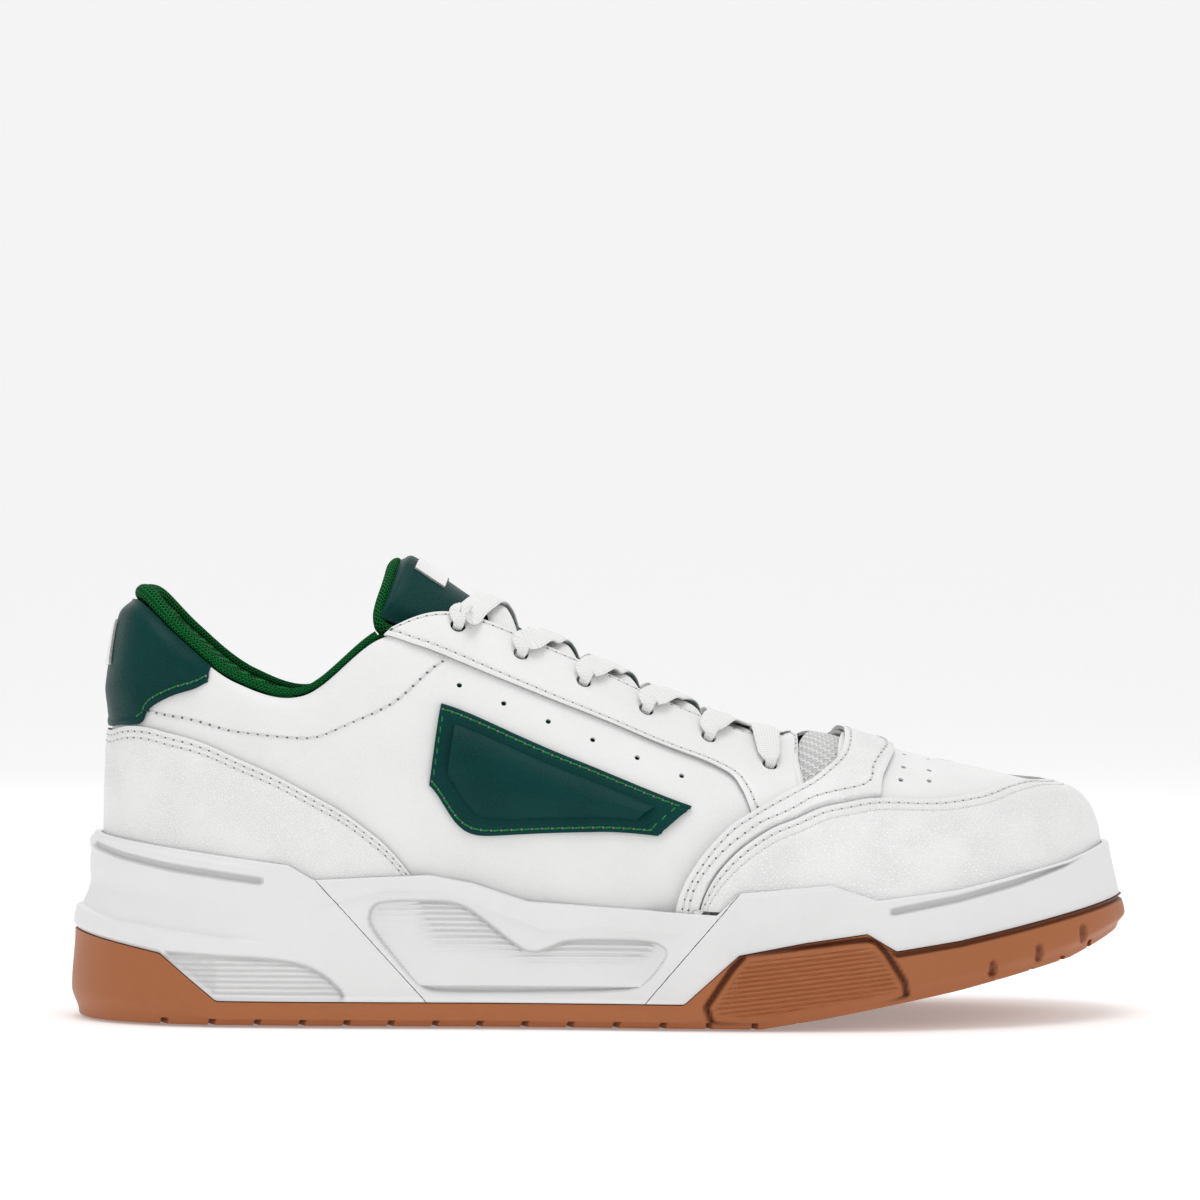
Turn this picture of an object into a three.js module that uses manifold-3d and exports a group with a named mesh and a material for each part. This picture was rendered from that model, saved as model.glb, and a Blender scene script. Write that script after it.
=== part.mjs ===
// Court shoe for the right foot, in millimetres: +X to the toe, +Y to the medial side, +Z up,
// standing on z = 0 with the origin under the middle of its outsole.
import * as THREE from 'three';
import Module from 'manifold-3d';
import { mergeVertices } from 'three/addons/utils/BufferGeometryUtils.js';

const wasm = await Module();
wasm.setup();

// ---- driving dimensions -------------------------------------------------------------------
const LENGTH = 300;          // heel to toe over the outsole
const WIDTH = 106;           // over the outsole at the ball
const HEIGHT = 131;          // floor to the top of the tongue
const SKIN = 1.0;            // one layer of leather, mesh or lining
const GAP = 0.6;             // air between two layers
const LACE_WIDTH = 8;
const LACE_THICK = 1.1;
const EYELET_BORE = 5.4;     // hole in the eyestay
const EYELETS = 6;           // on each side
const PUNCH_BORE = 2.6;      // vent holes in the quarter and the toe vamp
const COLLAR_FOAM = 7.5;     // thickest padding inside the collar
const PIPING = 4.6;          // diameter of the rolled collar edge
const BINDING = 3.4;         // diameter of the rolled tongue edge
const TONGUE_FOAM = 5;
const OUTSOLE_FLOOR = 4.6;   // gum rubber under the foot
const TREAD_DEPTH = 2.4;
const TREAD_SLOT = 2.6;
const GUM_WALL = 2.4;        // gum rubber that climbs the sides
const CUP_FLOOR = 3.2;       // white rubber under the foam
const BOARD = 1.8;
const SOCKLINER = 4.5;
const SHANK = { long: 86, wide: 30, thick: 1.8, middle: -22 };
const SEAM = 0.6;            // slanted seams between the three cupsole pieces

// The tables below are drawn for a 300 x 106 x 131 shoe and follow the driving dimensions.
const sx = LENGTH / 300;
const sy = WIDTH / 106;
const sz = HEIGHT / 131;
const rad = THREE.MathUtils.degToRad;
const vec = (x, y, z) => new THREE.Vector3(x, y, z);

// ---- the last: fifteen ribs from the heel to the toe ---------------------------------------
// base x, base y lateral, base y medial, base z, top x, top y lateral, top y medial, top z,
// lean of the wall at its base and fall of the surface at its top in degrees, and the reach of
// the rib's two handles. From rib 10 on both sides meet in the ridge of the toe box.
const RIBS = [
  [-138, 0, 0, 26, -131, 0, 0, 116.5, 2, 68, 40, 18],
  [-131, -18, 17, 26, -127.5, -14.5, 14, 116, 3, 72, 40, 18],
  [-114, -29, 28, 26, -117, -24, 23.5, 106.5, 4, 78, 34, 18],
  [-90, -33, 31, 25.5, -101, -29.5, 29, 94.5, 5, 82, 28, 16],
  [-68, -34.5, 30.5, 25, -82, -31.5, 31, 91, 5, 80, 26, 16],
  [-46, -35.5, 29.5, 24.5, -61, -29, 28.5, 107, 6, 66, 34, 22],
  [-26, -36.5, 29.5, 24, -41, -22, 21.5, 112.5, 7, 52, 36, 26],
  [2, -39.5, 31.5, 23, -10, -19.5, 19, 100.5, 8, 42, 32, 24],
  [32, -43.5, 37.5, 22, 22, -17, 17, 85.5, 9, 36, 26, 22],
  [60, -45, 43, 22, 46, -11, 13, 77, 9, 26, 24, 22],
  [84, -42.5, 45, 24, 60, 1.5, 1.5, 79, 8, 0, 24, 26],
  [106, -34, 42, 27, 76, 2.5, 2.5, 74.5, 8, 0, 26, 30],
  [123, -21, 36, 30, 90, 4, 4, 70.5, 6, 0, 28, 32],
  [134, -6, 25, 32, 99, 5, 5, 68.6, 5, 0, 30, 33],
  [138, 9, 9, 33, 104, 6, 6, 67.6, 4, 0, 31, 34],
];
const TOE = RIBS.length - 1;
const LOOP = 2 * TOE;
const RIDGE_START = 10;
const RIDGE_FALL = -0.27;

const ribSide = (row, medial) => ({
  base: vec(row[0] * sx, (medial ? row[2] : row[1]) * sy, row[3] * sz),
  top: vec(row[4] * sx, (medial ? row[6] : row[5]) * sy, row[7] * sz),
  shape: [row[8], row[9], row[10] * sz, row[11] * sy],
});
const ribLoop = [];
for (let i = 0; i < LOOP; i += 1) {
  ribLoop.push(i <= TOE ? ribSide(RIBS[i], false) : ribSide(RIBS[LOOP - i], true));
}

function blendFour(values, f) {
  const [a, b, c, d] = values;
  return 0.5 * (2 * b + (c - a) * f + (2 * a - 5 * b + 4 * c - d) * f * f
    + (3 * b - a - 3 * c + d) * f * f * f);
}
function alongLoop(s, pick) {
  const start = Math.floor(s);
  const four = [-1, 0, 1, 2].map((k) => pick(ribLoop[(((start + k) % LOOP) + LOOP) % LOOP]));
  return blendFour(four, s - start);
}
const loopPoint = (s, key) => vec(alongLoop(s, (r) => r[key].x), alongLoop(s, (r) => r[key].y),
  alongLoop(s, (r) => r[key].z));
function planNormal(s) {
  const a = loopPoint(s - 0.02, 'base');
  const b = loopPoint(s + 0.02, 'base');
  return vec(b.y - a.y, a.x - b.x, 0).normalize();
}

// Point of the last at rib position s (0 heel, 14 toe, 28 heel again) and height v (0 base, 1 top).
function lastPoint(s, v) {
  const base = loopPoint(s, 'base');
  const top = loopPoint(s, 'top');
  const n = planNormal(s);
  const [lean, fall, low, high] = [0, 1, 2, 3].map((k) => alongLoop(s, (r) => r.shape[k]));
  const p1 = base.clone().addScaledVector(n, low * Math.sin(rad(lean)));
  p1.z += low * Math.cos(rad(lean));
  const p2 = top.clone().addScaledVector(n, high * Math.cos(rad(fall)));
  p2.z += high * (RIDGE_FALL * n.x * Math.cos(rad(fall)) - Math.sin(rad(fall)));
  const w = 1 - v;
  return base.multiplyScalar(w * w * w).addScaledVector(p1, 3 * w * w * v)
    .addScaledVector(p2, 3 * w * v * v).addScaledVector(top, v * v * v);
}
function sideNormal(s, v) {
  const e = 0.01;
  const inside = Math.min(v, 0.97);
  const along = lastPoint(s + e, inside).sub(lastPoint(s - e, inside));
  const up = lastPoint(s, inside + e).sub(lastPoint(s, inside - e));
  return along.cross(up).normalize();
}
function onLast(s, v, lift) {
  const n = sideNormal(s, v);
  const around = ((s % LOOP) + LOOP) % LOOP;
  if (v > 0.999 && around > RIDGE_START - 0.01 && around < LOOP - RIDGE_START + 0.01) {
    n.add(sideNormal(LOOP - s, v)).normalize();
  }
  return lastPoint(s, v).addScaledVector(n, lift);
}

// Finds the rib position and height of a point given as it is drawn in side view.
function findOnSide(x, z) {
  const miss = (s, v) => {
    const p = lastPoint(s, v);
    return (p.x - x * sx) ** 2 + (p.z - z * sz) ** 2;
  };
  let best = [0, 0];
  for (let s = 0; s <= TOE; s += 0.5) {
    for (let v = 0; v <= 1; v += 0.1) {
      if (miss(s, v) < miss(...best)) best = [s, v];
    }
  }
  for (let step = 0.25; step > 0.001; step /= 2) {
    for (let turn = 0; turn < 3; turn += 1) {
      const [s, v] = best;
      for (const [ds, dv] of [[step, 0], [-step, 0], [0, step / 4], [0, -step / 4]]) {
        const s2 = Math.min(Math.max(s + ds, 0), TOE);
        const v2 = Math.min(Math.max(v + dv, 0), 1);
        if (miss(s2, v2) < miss(...best)) best = [s2, v2];
      }
    }
  }
  return best;
}
function findOnRidge(x) {
  let low = RIDGE_START;
  let high = TOE;
  for (let k = 0; k < 24; k += 1) {
    const mid = (low + high) / 2;
    if (loopPoint(mid, 'top').x < x * sx) low = mid;
    else high = mid;
  }
  return [low, 1];
}

// A line of the pattern through side-view points, or a ridge point last: t 0..1 gives [s, v].
function patternLine(points) {
  const found = points.map((p) => {
    if (p.ridge !== undefined) return findOnRidge(p.ridge);
    if (p.rib !== undefined) return [p.rib, p.v];
    return findOnSide(p[0], p[1]);
  });
  const curve = new THREE.CatmullRomCurve3(found.map(([s, v]) => vec(s, v * 10, 0)), false,
    'centripetal');
  return (t) => {
    const p = curve.getPoint(t);
    return [p.x, Math.min(p.y / 10, 1)];
  };
}
// The same line carried on to the medial side: t -1..1 with the given centre of symmetry.
const bothSides = (line, centre) => (t) => {
  const [s, v] = line(Math.abs(t));
  return t < 0 ? [s, v] : [2 * centre - s, v];
};
const toeLine = (line) => (t) => bothSides((k) => line(1 - k), TOE)(t);
const heelLine = (line) => (t) => bothSides(line, 0)(t);

// ---- making closed solids -------------------------------------------------------------------
function closedSolid(points, faces) {
  let volume = 0;
  for (const [a, b, c] of faces) {
    volume += points[a].dot(points[b].clone().cross(points[c]));
  }
  const turned = volume < 0 ? faces.map(([a, b, c]) => [a, c, b]) : faces;
  const geometry = new THREE.BufferGeometry();
  geometry.setAttribute('position',
    new THREE.Float32BufferAttribute(points.flatMap((p) => [p.x, p.y, p.z]), 3));
  geometry.setIndex(turned.flat());
  return geometry;
}

// Gives a sheet of surface positions its thickness, with walls along every free edge.
function thicken(spots, faces, inner, outer, surface = onLast) {
  const points = [];
  for (const spot of spots) points.push(surface(spot[0], spot[1], outer(spot[0], spot[1])));
  for (const spot of spots) points.push(surface(spot[0], spot[1], inner(spot[0], spot[1])));
  const back = spots.length;
  const all = [];
  const free = new Map();
  for (const [a, b, c] of faces) {
    all.push([a, b, c], [a + back, c + back, b + back]);
    for (const [p, q] of [[a, b], [b, c], [c, a]]) {
      if (free.has(`${q},${p}`)) free.delete(`${q},${p}`);
      else free.set(`${p},${q}`, [p, q]);
    }
  }
  for (const [p, q] of free.values()) all.push([q, p, p + back], [q, p + back, q + back]);
  return closedSolid(points, all);
}
const flat = (value) => () => value;

function gridFaces(rows, columns) {
  const faces = [];
  for (let i = 0; i < rows; i += 1) {
    for (let j = 0; j < columns; j += 1) {
      const a = i * (columns + 1) + j;
      const b = a + columns + 1;
      faces.push([a, b, b + 1], [a, b + 1, a + 1]);
    }
  }
  return faces;
}
// A panel between two pattern lines, from..to along both and across from one to the other.
function panel({ one, two, from = 0, to = 1, along, across, inner, outer, surface }) {
  const spots = [];
  for (let i = 0; i <= along; i += 1) {
    const t = from + ((to - from) * i) / along;
    const [a, b] = [one(t), two(t)];
    for (let j = 0; j <= across; j += 1) {
      const f = j / across;
      spots.push([a[0] + (b[0] - a[0]) * f, a[1] + (b[1] - a[1]) * f]);
    }
  }
  return thicken(spots, gridFaces(along, across), inner, outer, surface);
}
// A cap over the toe box: it runs from a rear line round the toe and closes along the ridge.
function toeCap({ rear, low, along, across, inner, outer }) {
  const spots = [];
  const index = new Map();
  const spotAt = (i, j) => {
    const side = i > along;
    const k = side ? 2 * along - i : i;
    const key = j === across ? `ridge${k}` : `${i},${j}`;
    if (!index.has(key)) {
      let s = TOE;
      let v = 1;
      for (let turn = 0; turn < 6; turn += 1) {
        v = low(s) + ((1 - low(s)) * j) / across;
        s = rear(v) + ((TOE - rear(v)) * k) / along;
      }
      index.set(key, spots.length);
      spots.push([side ? LOOP - s : s, v]);
    }
    return index.get(key);
  };
  const faces = [];
  for (let i = 0; i < 2 * along; i += 1) {
    for (let j = 0; j < across; j += 1) {
      const quad = [spotAt(i, j), spotAt(i + 1, j), spotAt(i + 1, j + 1), spotAt(i, j + 1)];
      if (quad[2] !== quad[0]) faces.push([quad[0], quad[1], quad[2]]);
      if (quad[3] !== quad[1]) faces.push([quad[0], quad[2], quad[3]]);
    }
  }
  const whole = faces.filter(([a, b, c]) => a !== b && b !== c && c !== a);
  return thicken(spots, whole, inner, outer);
}
// Stacks closed rings of the sole into a solid and closes it with flat strips at both ends.
function ringSolid(rings) {
  const count = rings[0].length;
  const points = rings.flat();
  const faces = [];
  for (let r = 0; r + 1 < rings.length; r += 1) {
    for (let i = 0; i < count; i += 1) {
      const a = r * count + i;
      const b = r * count + ((i + 1) % count);
      faces.push([a, b, b + count], [a, b + count, a + count]);
    }
  }
  const lid = (start, flip) => {
    for (let i = 0; i < count / 2; i += 1) {
      const [a, b] = [start + i, start + i + 1];
      const [c, d] = [start + ((count - i) % count), start + count - i - 1];
      const strip = [[a, d, b], [a, c, d]].filter(([p, q, r]) => p !== q && q !== r && r !== p);
      for (const [p, q, r] of strip) faces.push(flip ? [p, r, q] : [p, q, r]);
    }
  };
  lid(0, false);
  lid((rings.length - 1) * count, true);
  return closedSolid(points, faces);
}
// A bar swept through stations that give its middle, its two half axes and its section.
function sweep(stations, sides) {
  const points = [];
  const faces = [];
  for (const { at, wide, deep } of stations) {
    for (let k = 0; k < sides; k += 1) {
      const angle = ((k + 0.5) / sides) * 2 * Math.PI;
      const grow = 1 / Math.cos(Math.PI / sides);
      points.push(at.clone().addScaledVector(wide, grow * Math.cos(angle))
        .addScaledVector(deep, grow * Math.sin(angle)));
    }
  }
  const last = (stations.length - 1) * sides;
  for (let i = 0; i + 1 < stations.length; i += 1) {
    for (let k = 0; k < sides; k += 1) {
      const a = i * sides + k;
      const b = i * sides + ((k + 1) % sides);
      faces.push([a, b, b + sides], [a, b + sides, a + sides]);
    }
  }
  for (let k = 1; k + 1 < sides; k += 1) {
    faces.push([0, k + 1, k], [last, last + k, last + k + 1]);
  }
  return closedSolid(points, faces);
}

function toManifold(geometry) {
  const bare = geometry.clone();
  bare.deleteAttribute('normal');
  bare.deleteAttribute('uv');
  const merged = mergeVertices(bare, 1e-4);
  return new wasm.Manifold(new wasm.Mesh({
    numProp: 3,
    vertProperties: merged.attributes.position.array,
    triVerts: Uint32Array.from(merged.index.array),
  }));
}
function fromManifold(solid) {
  const mesh = solid.getMesh();
  const geometry = new THREE.BufferGeometry();
  geometry.setAttribute('position', new THREE.Float32BufferAttribute(mesh.vertProperties, 3));
  geometry.setIndex(Array.from(mesh.triVerts));
  return geometry;
}
function cut(geometry, cutters) {
  let solid = toManifold(geometry);
  for (const cutter of cutters) solid = solid.subtract(toManifold(cutter));
  return fromManifold(solid);
}
function punch(s, v, bore) {
  const reach = 16;
  const hole = new THREE.CylinderGeometry(bore / 2, bore / 2, reach, bore > 3 ? 8 : 6);
  hole.applyQuaternion(new THREE.Quaternion().setFromUnitVectors(vec(0, 1, 0), sideNormal(s, v)));
  const at = onLast(s, v, 1);
  return hole.translate(at.x, at.y, at.z);
}

// ---- finishes -------------------------------------------------------------------------------
const finish = (color, roughness) => new THREE.MeshStandardMaterial({
  color, roughness, metalness: 0,
});
const whiteLeather = finish('#efefec', 0.45);
const whiteMesh = finish('#e6e6e2', 0.85);
const greenLeather = finish('#0b3a36', 0.4);
const greenKnit = finish('#1c7a48', 0.9);
const gum = finish('#a5623c', 0.6);
const whiteRubber = finish('#e9e9e6', 0.55);
const foam = finish('#d9d6cc', 0.9);
const board = finish('#c9b48f', 0.9);
const stiffener = finish('#dcdcd6', 0.6);
const woven = finish('#f4f4f2', 0.8);

const shoe = new THREE.Group();
function add(name, geometry, material) {
  const mesh = new THREE.Mesh(geometry, material);
  mesh.name = name;
  shoe.add(mesh);
  return mesh;
}

// ---- sole -----------------------------------------------------------------------------------
const profile = (points) => {
  const drawn = points.map(([x, z]) => [x * sx, z * sz]);
  return (x) => {
    if (x <= drawn[0][0]) return drawn[0][1];
    for (let i = 0; i + 1 < drawn.length; i += 1) {
      const [[a, p], [b, q]] = [drawn[i], drawn[i + 1]];
      if (x <= b) return p + ((q - p) * (x - a)) / (b - a);
    }
    return drawn[drawn.length - 1][1];
  };
};
const treadLine = profile([[44, 0], [62, 3], [99, 10.2], [131, 17.6], [150, 25]]);
const gumTop = profile([[-148, 24], [-122, 19], [-106, 6], [-60, 6], [23, 6], [38, 19.5],
  [56, 23], [73, 25.4], [81, 20.6], [99, 23.2], [136, 30.6], [150, 33.5]]);
const lipTop = profile([[-144, 52], [-98, 45.6], [-86, 44], [-79, 40], [-58, 41], [-47, 41.5],
  [-35, 39.3], [-20, 34.4], [0, 33], [32, 31], [38, 37], [63, 39.2], [76, 35], [99, 37.7],
  [131, 44.5], [144, 48.6]]);

const RING = 52;
const ringStops = [];
for (let i = 0; i < RING; i += 1) ringStops.push((i * LOOP) / RING);
const flare = (s) => 8 + 4 * planNormal(s).x ** 2;
function ring(reach, height) {
  return ringStops.map((s) => {
    const n = planNormal(s);
    const p = loopPoint(s, 'base').addScaledVector(n, typeof reach === 'number' ? reach : reach(s));
    p.z = height(p.x);
    return p;
  });
}
const lift = (line, more) => (x) => line(x) + more;
const insideGum = (s) => flare(s) - 1 - GUM_WALL - GAP;
const soleFloor = lift(treadLine, OUTSOLE_FLOOR);
const cupFloorTop = lift(soleFloor, GAP + CUP_FLOOR);
const WALL_TOP = 1.6;                         // white wall at its lip
const CUP_CLEAR = 0.3;                        // more air between the cup and the leather
// How far the upper stands out beyond the foot of the last, so that the cup clears its leather.
function cupInner(s) {
  const n = planNormal(s);
  const base = loopPoint(s, 'base');
  const out = [0.06, 0.12, 0.18, 0.24, 0.3].map((v) => lastPoint(s, v).sub(base).dot(n));
  const front = THREE.MathUtils.smoothstep(7.4 - Math.abs(s - TOE), 0, 1.2);
  return Math.max(...out) + 2 * SKIN + 2 * GAP + CUP_CLEAR + front * (SKIN + GAP);
}
const CUP_FOOT = 2;                           // reach of the cup's hollow below the leather

function herringboneSlots() {
  const slots = [];
  const arm = WIDTH * 0.62;
  for (let x = -132 * sx; x < 140 * sx; x += 14) {
    for (const side of [-1, 1]) {
      const slot = new THREE.BoxGeometry(arm, TREAD_SLOT, 2 * TREAD_DEPTH);
      slot.translate(arm / 2 - 1, 0, 0);
      slot.rotateZ(side * rad(68));
      slots.push(slot.translate(x, 0, treadLine(x + 8)));
    }
  }
  return slots;
}
function outsole() {
  const bottom = ring((s) => flare(s) - 2, treadLine);
  const belly = ring(flare, lift(treadLine, 5));
  const lip = ring((s) => flare(s) - 1, (x) => Math.max(gumTop(x), soleFloor(x) + 0.6));
  const lipInner = ring((s) => flare(s) - 1 - GUM_WALL,
    (x) => Math.max(gumTop(x), soleFloor(x) + 0.6));
  const floor = ring((s) => flare(s) - 1 - GUM_WALL - 0.3, soleFloor);
  return cut(ringSolid([bottom, belly, lip, lipInner, floor]), herringboneSlots());
}
function wholeCupsole() {
  const shelf = (x) => Math.max(gumTop(x), soleFloor(x) + 0.6) + GAP;
  return ringSolid([
    ring(insideGum, lift(soleFloor, GAP)),
    ring(insideGum, shelf),
    ring((s) => flare(s) - 1.6, shelf),
    ring((s) => cupInner(s) + WALL_TOP, lipTop),
    ring(cupInner, lipTop),
    ring(cupInner, (x) => Math.max(shelf(x), cupFloorTop(x)) + 3),
    ring(CUP_FOOT, (x) => Math.max(shelf(x), cupFloorTop(x)) + 1),
    ring(CUP_FOOT, cupFloorTop),
  ]);
}
// A slanted slab of the whole height of the sole between two drawn points of its rear face.
function slantedSlab(low, high, length) {
  const reach = 40;
  const slope = ((high[0] - low[0]) * sx) / ((high[1] - low[1]) * sz);
  const at = (z) => low[0] * sx + slope * (z - low[1] * sz);
  const outline = new THREE.Shape([
    new THREE.Vector2(at(-reach), -reach), new THREE.Vector2(at(-reach) + length, -reach),
    new THREE.Vector2(at(2 * reach) + length, 2 * reach), new THREE.Vector2(at(2 * reach), 2 * reach),
  ]);
  const slab = new THREE.ExtrudeGeometry(outline, { depth: 2 * WIDTH, bevelEnabled: false });
  slab.rotateX(Math.PI / 2);
  return slab.translate(0, WIDTH, 0);
}
function addSole() {
  add('outsole', outsole(), gum);
  const whole = toManifold(wholeCupsole());
  const heelSeam = [[-47.9, 6.6], [-78.4, 39.9]];
  const ballSeam = [[11, 5.2], [32, 29.9]];
  const fromHeelSeam = toManifold(slantedSlab(...heelSeam, 2 * LENGTH));
  const fromHeelGap = toManifold(slantedSlab(...heelSeam, 2 * LENGTH).translate(SEAM, 0, 0));
  const fromBallSeam = toManifold(slantedSlab(...ballSeam, 2 * LENGTH));
  const fromBallGap = toManifold(slantedSlab(...ballSeam, 2 * LENGTH).translate(SEAM, 0, 0));
  add('cupsole_heel', fromManifold(whole.subtract(fromHeelSeam)), whiteRubber);
  add('cupsole_shank', fromManifold(whole.intersect(fromHeelGap).subtract(fromBallSeam)), whiteRubber);
  add('cupsole_forefoot', fromManifold(whole.intersect(fromBallGap)), whiteRubber);

  const boardLow = (x) => feather(x) - GAP;
  const wedge = ringSolid([
    ring(CUP_FOOT - GAP, lift(cupFloorTop, GAP)), ring(CUP_FOOT - GAP, boardLow),
  ]);
  const plate = new THREE.BoxGeometry(SHANK.long, SHANK.wide, SHANK.thick, 1, 1, 1);
  const plateZ = OUTSOLE_FLOOR + GAP + CUP_FLOOR + GAP + SHANK.thick / 2;
  plate.translate(SHANK.middle * sx, -3, plateZ);
  const pocket = new THREE.BoxGeometry(SHANK.long + 2 * GAP, SHANK.wide + 2 * GAP, SHANK.thick * 2);
  pocket.translate(SHANK.middle * sx, -3, plateZ + GAP - SHANK.thick / 2);
  add('midsole_wedge', cut(wedge, [pocket]), foam);
  add('shank_plate', plate, stiffener);
  add('strobel_board', ringSolid([
    ring(-0.4, feather), ring(-0.4, lift(feather, BOARD)),
  ]), board);
  const sockLow = lift(feather, BOARD + GAP);
  add('sockliner', ringSolid([
    ring(-5.5, sockLow), ring(-4.8, lift(sockLow, SOCKLINER / 2)), ring(-5.8, lift(sockLow, SOCKLINER)),
  ]), greenKnit);
}
const feather = profile(RIBS.map((row) => [row[0], row[3]]));
addSole();

// ---- upper: base layer ----------------------------------------------------------------------
const LOW = 0.05;                       // lower edge of the base layer on the last
const LOW_OVER = 0.13;                  // lower edge of the leather laid over it
const layer = (k) => [flat(k * (SKIN + GAP)), flat(k * (SKIN + GAP) + SKIN)];
const [baseIn, baseOut] = layer(0);
const [overIn, overOut] = layer(1);
const topIn = flat(2 * (SKIN + GAP) + 0.3);
const topOut = flat(2 * (SKIN + GAP) + SKIN + 0.3);

const ribLine = (from, to, v) => (t) => [from + (to - from) * t, typeof v === 'number' ? v : v(t)];
const collarEnd = 5.15;                 // rib position where the collar meets the eyestay
const eyestayLow = patternLine([[-60, 106.5], [-50.3, 103.5], [-32.6, 96.4], [-11.3, 87.6],
  [9.8, 78.8], [27.5, 71.8], [35, 68], [38.5, 64], [41.5, 57.5]]);
const eyestayHigh = patternLine([{ rib: collarEnd, v: 1 }, { rib: 6, v: 1 }, { rib: 7, v: 1 },
  { rib: 8, v: 1 }, { rib: 9, v: 1 }, { rib: 9.55, v: 0.985 }, [55.5, 70], [57, 62.5]]);
const quarterHigh = patternLine([{ rib: 0, v: 0.975 }, { rib: 2, v: 0.975 }, { rib: 4, v: 0.975 },
  { rib: 5, v: 0.97 }, [-47, 108], [-25, 98], [0, 87], [25, 76.5], [42, 66]]);
const quarterLow = ribLine(0, 8.35, LOW);
const mirrored = (line) => (t) => [LOOP - line(t)[0], line(t)[1]];
const bothHands = (make) => {
  make('lateral', (line) => line, 1);
  make('medial', mirrored, -1);
};

const VENT_ROW = [[-39, 93.2], [22.4, 68]];
function ventHoles(count, [from, to], side) {
  const holes = [];
  for (let k = 0; k < count; k += 1) {
    const f = k / (count - 1);
    const [s, v] = findOnSide(from[0] + (to[0] - from[0]) * f, from[1] + (to[1] - from[1]) * f);
    holes.push(side > 0 ? [s, v] : [LOOP - s, v]);
  }
  return holes;
}
bothHands((hand, of, side) => {
  const shell = panel({
    one: of(quarterLow), two: of(quarterHigh), from: 0.004, along: 20, across: 5,
    inner: baseIn, outer: baseOut,
  });
  const holes = ventHoles(6, VENT_ROW, side).map(([s, v]) => punch(s, v, PUNCH_BORE));
  add(`quarter_${hand}`, cut(shell, holes), whiteLeather);
});

const meshRear = (v) => 8.5 + 1.5 * v ** 3 + 0.35 * v * (1 - v);
add('vamp_mesh', toeCap({
  rear: meshRear, low: flat(LOW), along: 11, across: 8, inner: baseIn, outer: baseOut,
}), whiteMesh);

// ---- upper: leather laid over it -------------------------------------------------------------
const EYELET_ROW = [[-40, 108.6], [46.7, 69.3]];
const eyeletSpots = (side) => ventHoles(EYELETS, EYELET_ROW, side);
bothHands((hand, of, side) => {
  const strap = panel({
    one: of(eyestayLow), two: of(eyestayHigh), along: 18, across: 2, inner: overIn, outer: overOut,
  });
  const holes = eyeletSpots(side).map(([s, v]) => punch(s, v, EYELET_BORE));
  add(`eyestay_${hand}`, cut(strap, holes), whiteLeather);
});

const mudguardHigh = patternLine([[27, 29], [29.5, 37], [34, 43.5], [41.5, 49.5], [50, 53.5],
  [60, 57], [70.4, 59.2], [88, 59.4], [102, 60], { rib: 12.6, v: 0.67 }, { rib: TOE, v: 0.71 }]);
const saddleRear = patternLine([[20.5, 29], [22.5, 37], [26, 43.5], [31, 49.5], [38, 55],
  [52.8, 62], [61, 66], [66, 70], { ridge: 68 }]);
const saddleFront = patternLine([[25.6, 29], [28, 38.3], [32.6, 44.9], [40.1, 51], [48.7, 55.2],
  [59.7, 58.9], [73.7, 62], [78, 68], { ridge: 81 }]);
add('saddle_strip', panel({
  one: toeLine(saddleRear), two: toeLine(saddleFront), from: -1, to: 1, along: 36, across: 2,
  inner: topIn, outer: topOut,
}), whiteLeather);
const mudguardLow = (t) => [mudguardHigh(t)[0], LOW_OVER];
add('mudguard', panel({
  one: toeLine(mudguardLow), two: toeLine(mudguardHigh), from: -1, to: 1,
  along: 38, across: 4, inner: topIn, outer: topOut,
}), whiteLeather);

const vampRear = (v) => 9.3 + 1.25 * v ** 2;
const underMudguard = (s) => 0.5 + 0.06 * Math.max(0, s - 11);
const toeVamp = toeCap({
  rear: vampRear, low: underMudguard, along: 9, across: 5,
  inner: flat(SKIN + GAP + 0.3), outer: flat(2 * SKIN + GAP + 0.1),
});
const TOE_VENTS = [[[85.2, 71], [83.3, 65]], [[92, 69.5], [91.2, 64.4]]];
const toeHoles = [];
for (const row of TOE_VENTS) {
  for (const side of [1, -1]) toeHoles.push(...ventHoles(3, row, side));
}
add('toe_vamp', cut(toeVamp, toeHoles.map(([s, v]) => punch(s, v, PUNCH_BORE))), whiteLeather);

const foxingHigh = patternLine([{ rib: 0, v: 0.5 }, [-135, 80.5], [-122, 80.8], [-105.4, 75.5],
  [-91.3, 69.3], [-77, 62], [-63, 53], [-56, 46.5], [-49.6, 38]]);
const foxingLow = (t) => [foxingHigh(t)[0], LOW_OVER];
add('heel_foxing', panel({
  one: heelLine(foxingLow), two: heelLine(foxingHigh), from: -1, to: 1, along: 30, across: 3,
  inner: overIn, outer: overOut,
}), whiteLeather);
const tabLow = patternLine([{ rib: 0, v: 0.52 }, [-135, 82.3], [-128, 83], [-124.8, 87],
  [-119.9, 89.6], [-112.8, 92], [-107.5, 94.5]]);
const tabHigh = patternLine([{ rib: 0, v: 0.95 }, { rib: 1, v: 0.95 }, { rib: 2, v: 0.945 },
  { rib: 2.5, v: 0.94 }]);
add('heel_tab', panel({
  one: heelLine(tabLow), two: heelLine(tabHigh), from: -0.97, to: 0.97, along: 26, across: 3,
  inner: overIn, outer: overOut,
}), greenLeather);
const LABEL = [0.7, 0.88];
add('heel_label', panel({
  one: ribLine(-0.55, 0.55, LABEL[0]), two: ribLine(-0.45, 0.45, LABEL[1]), along: 6, across: 3,
  inner: topIn, outer: flat(2 * (SKIN + GAP) + SKIN),
}), whiteLeather);

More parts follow.
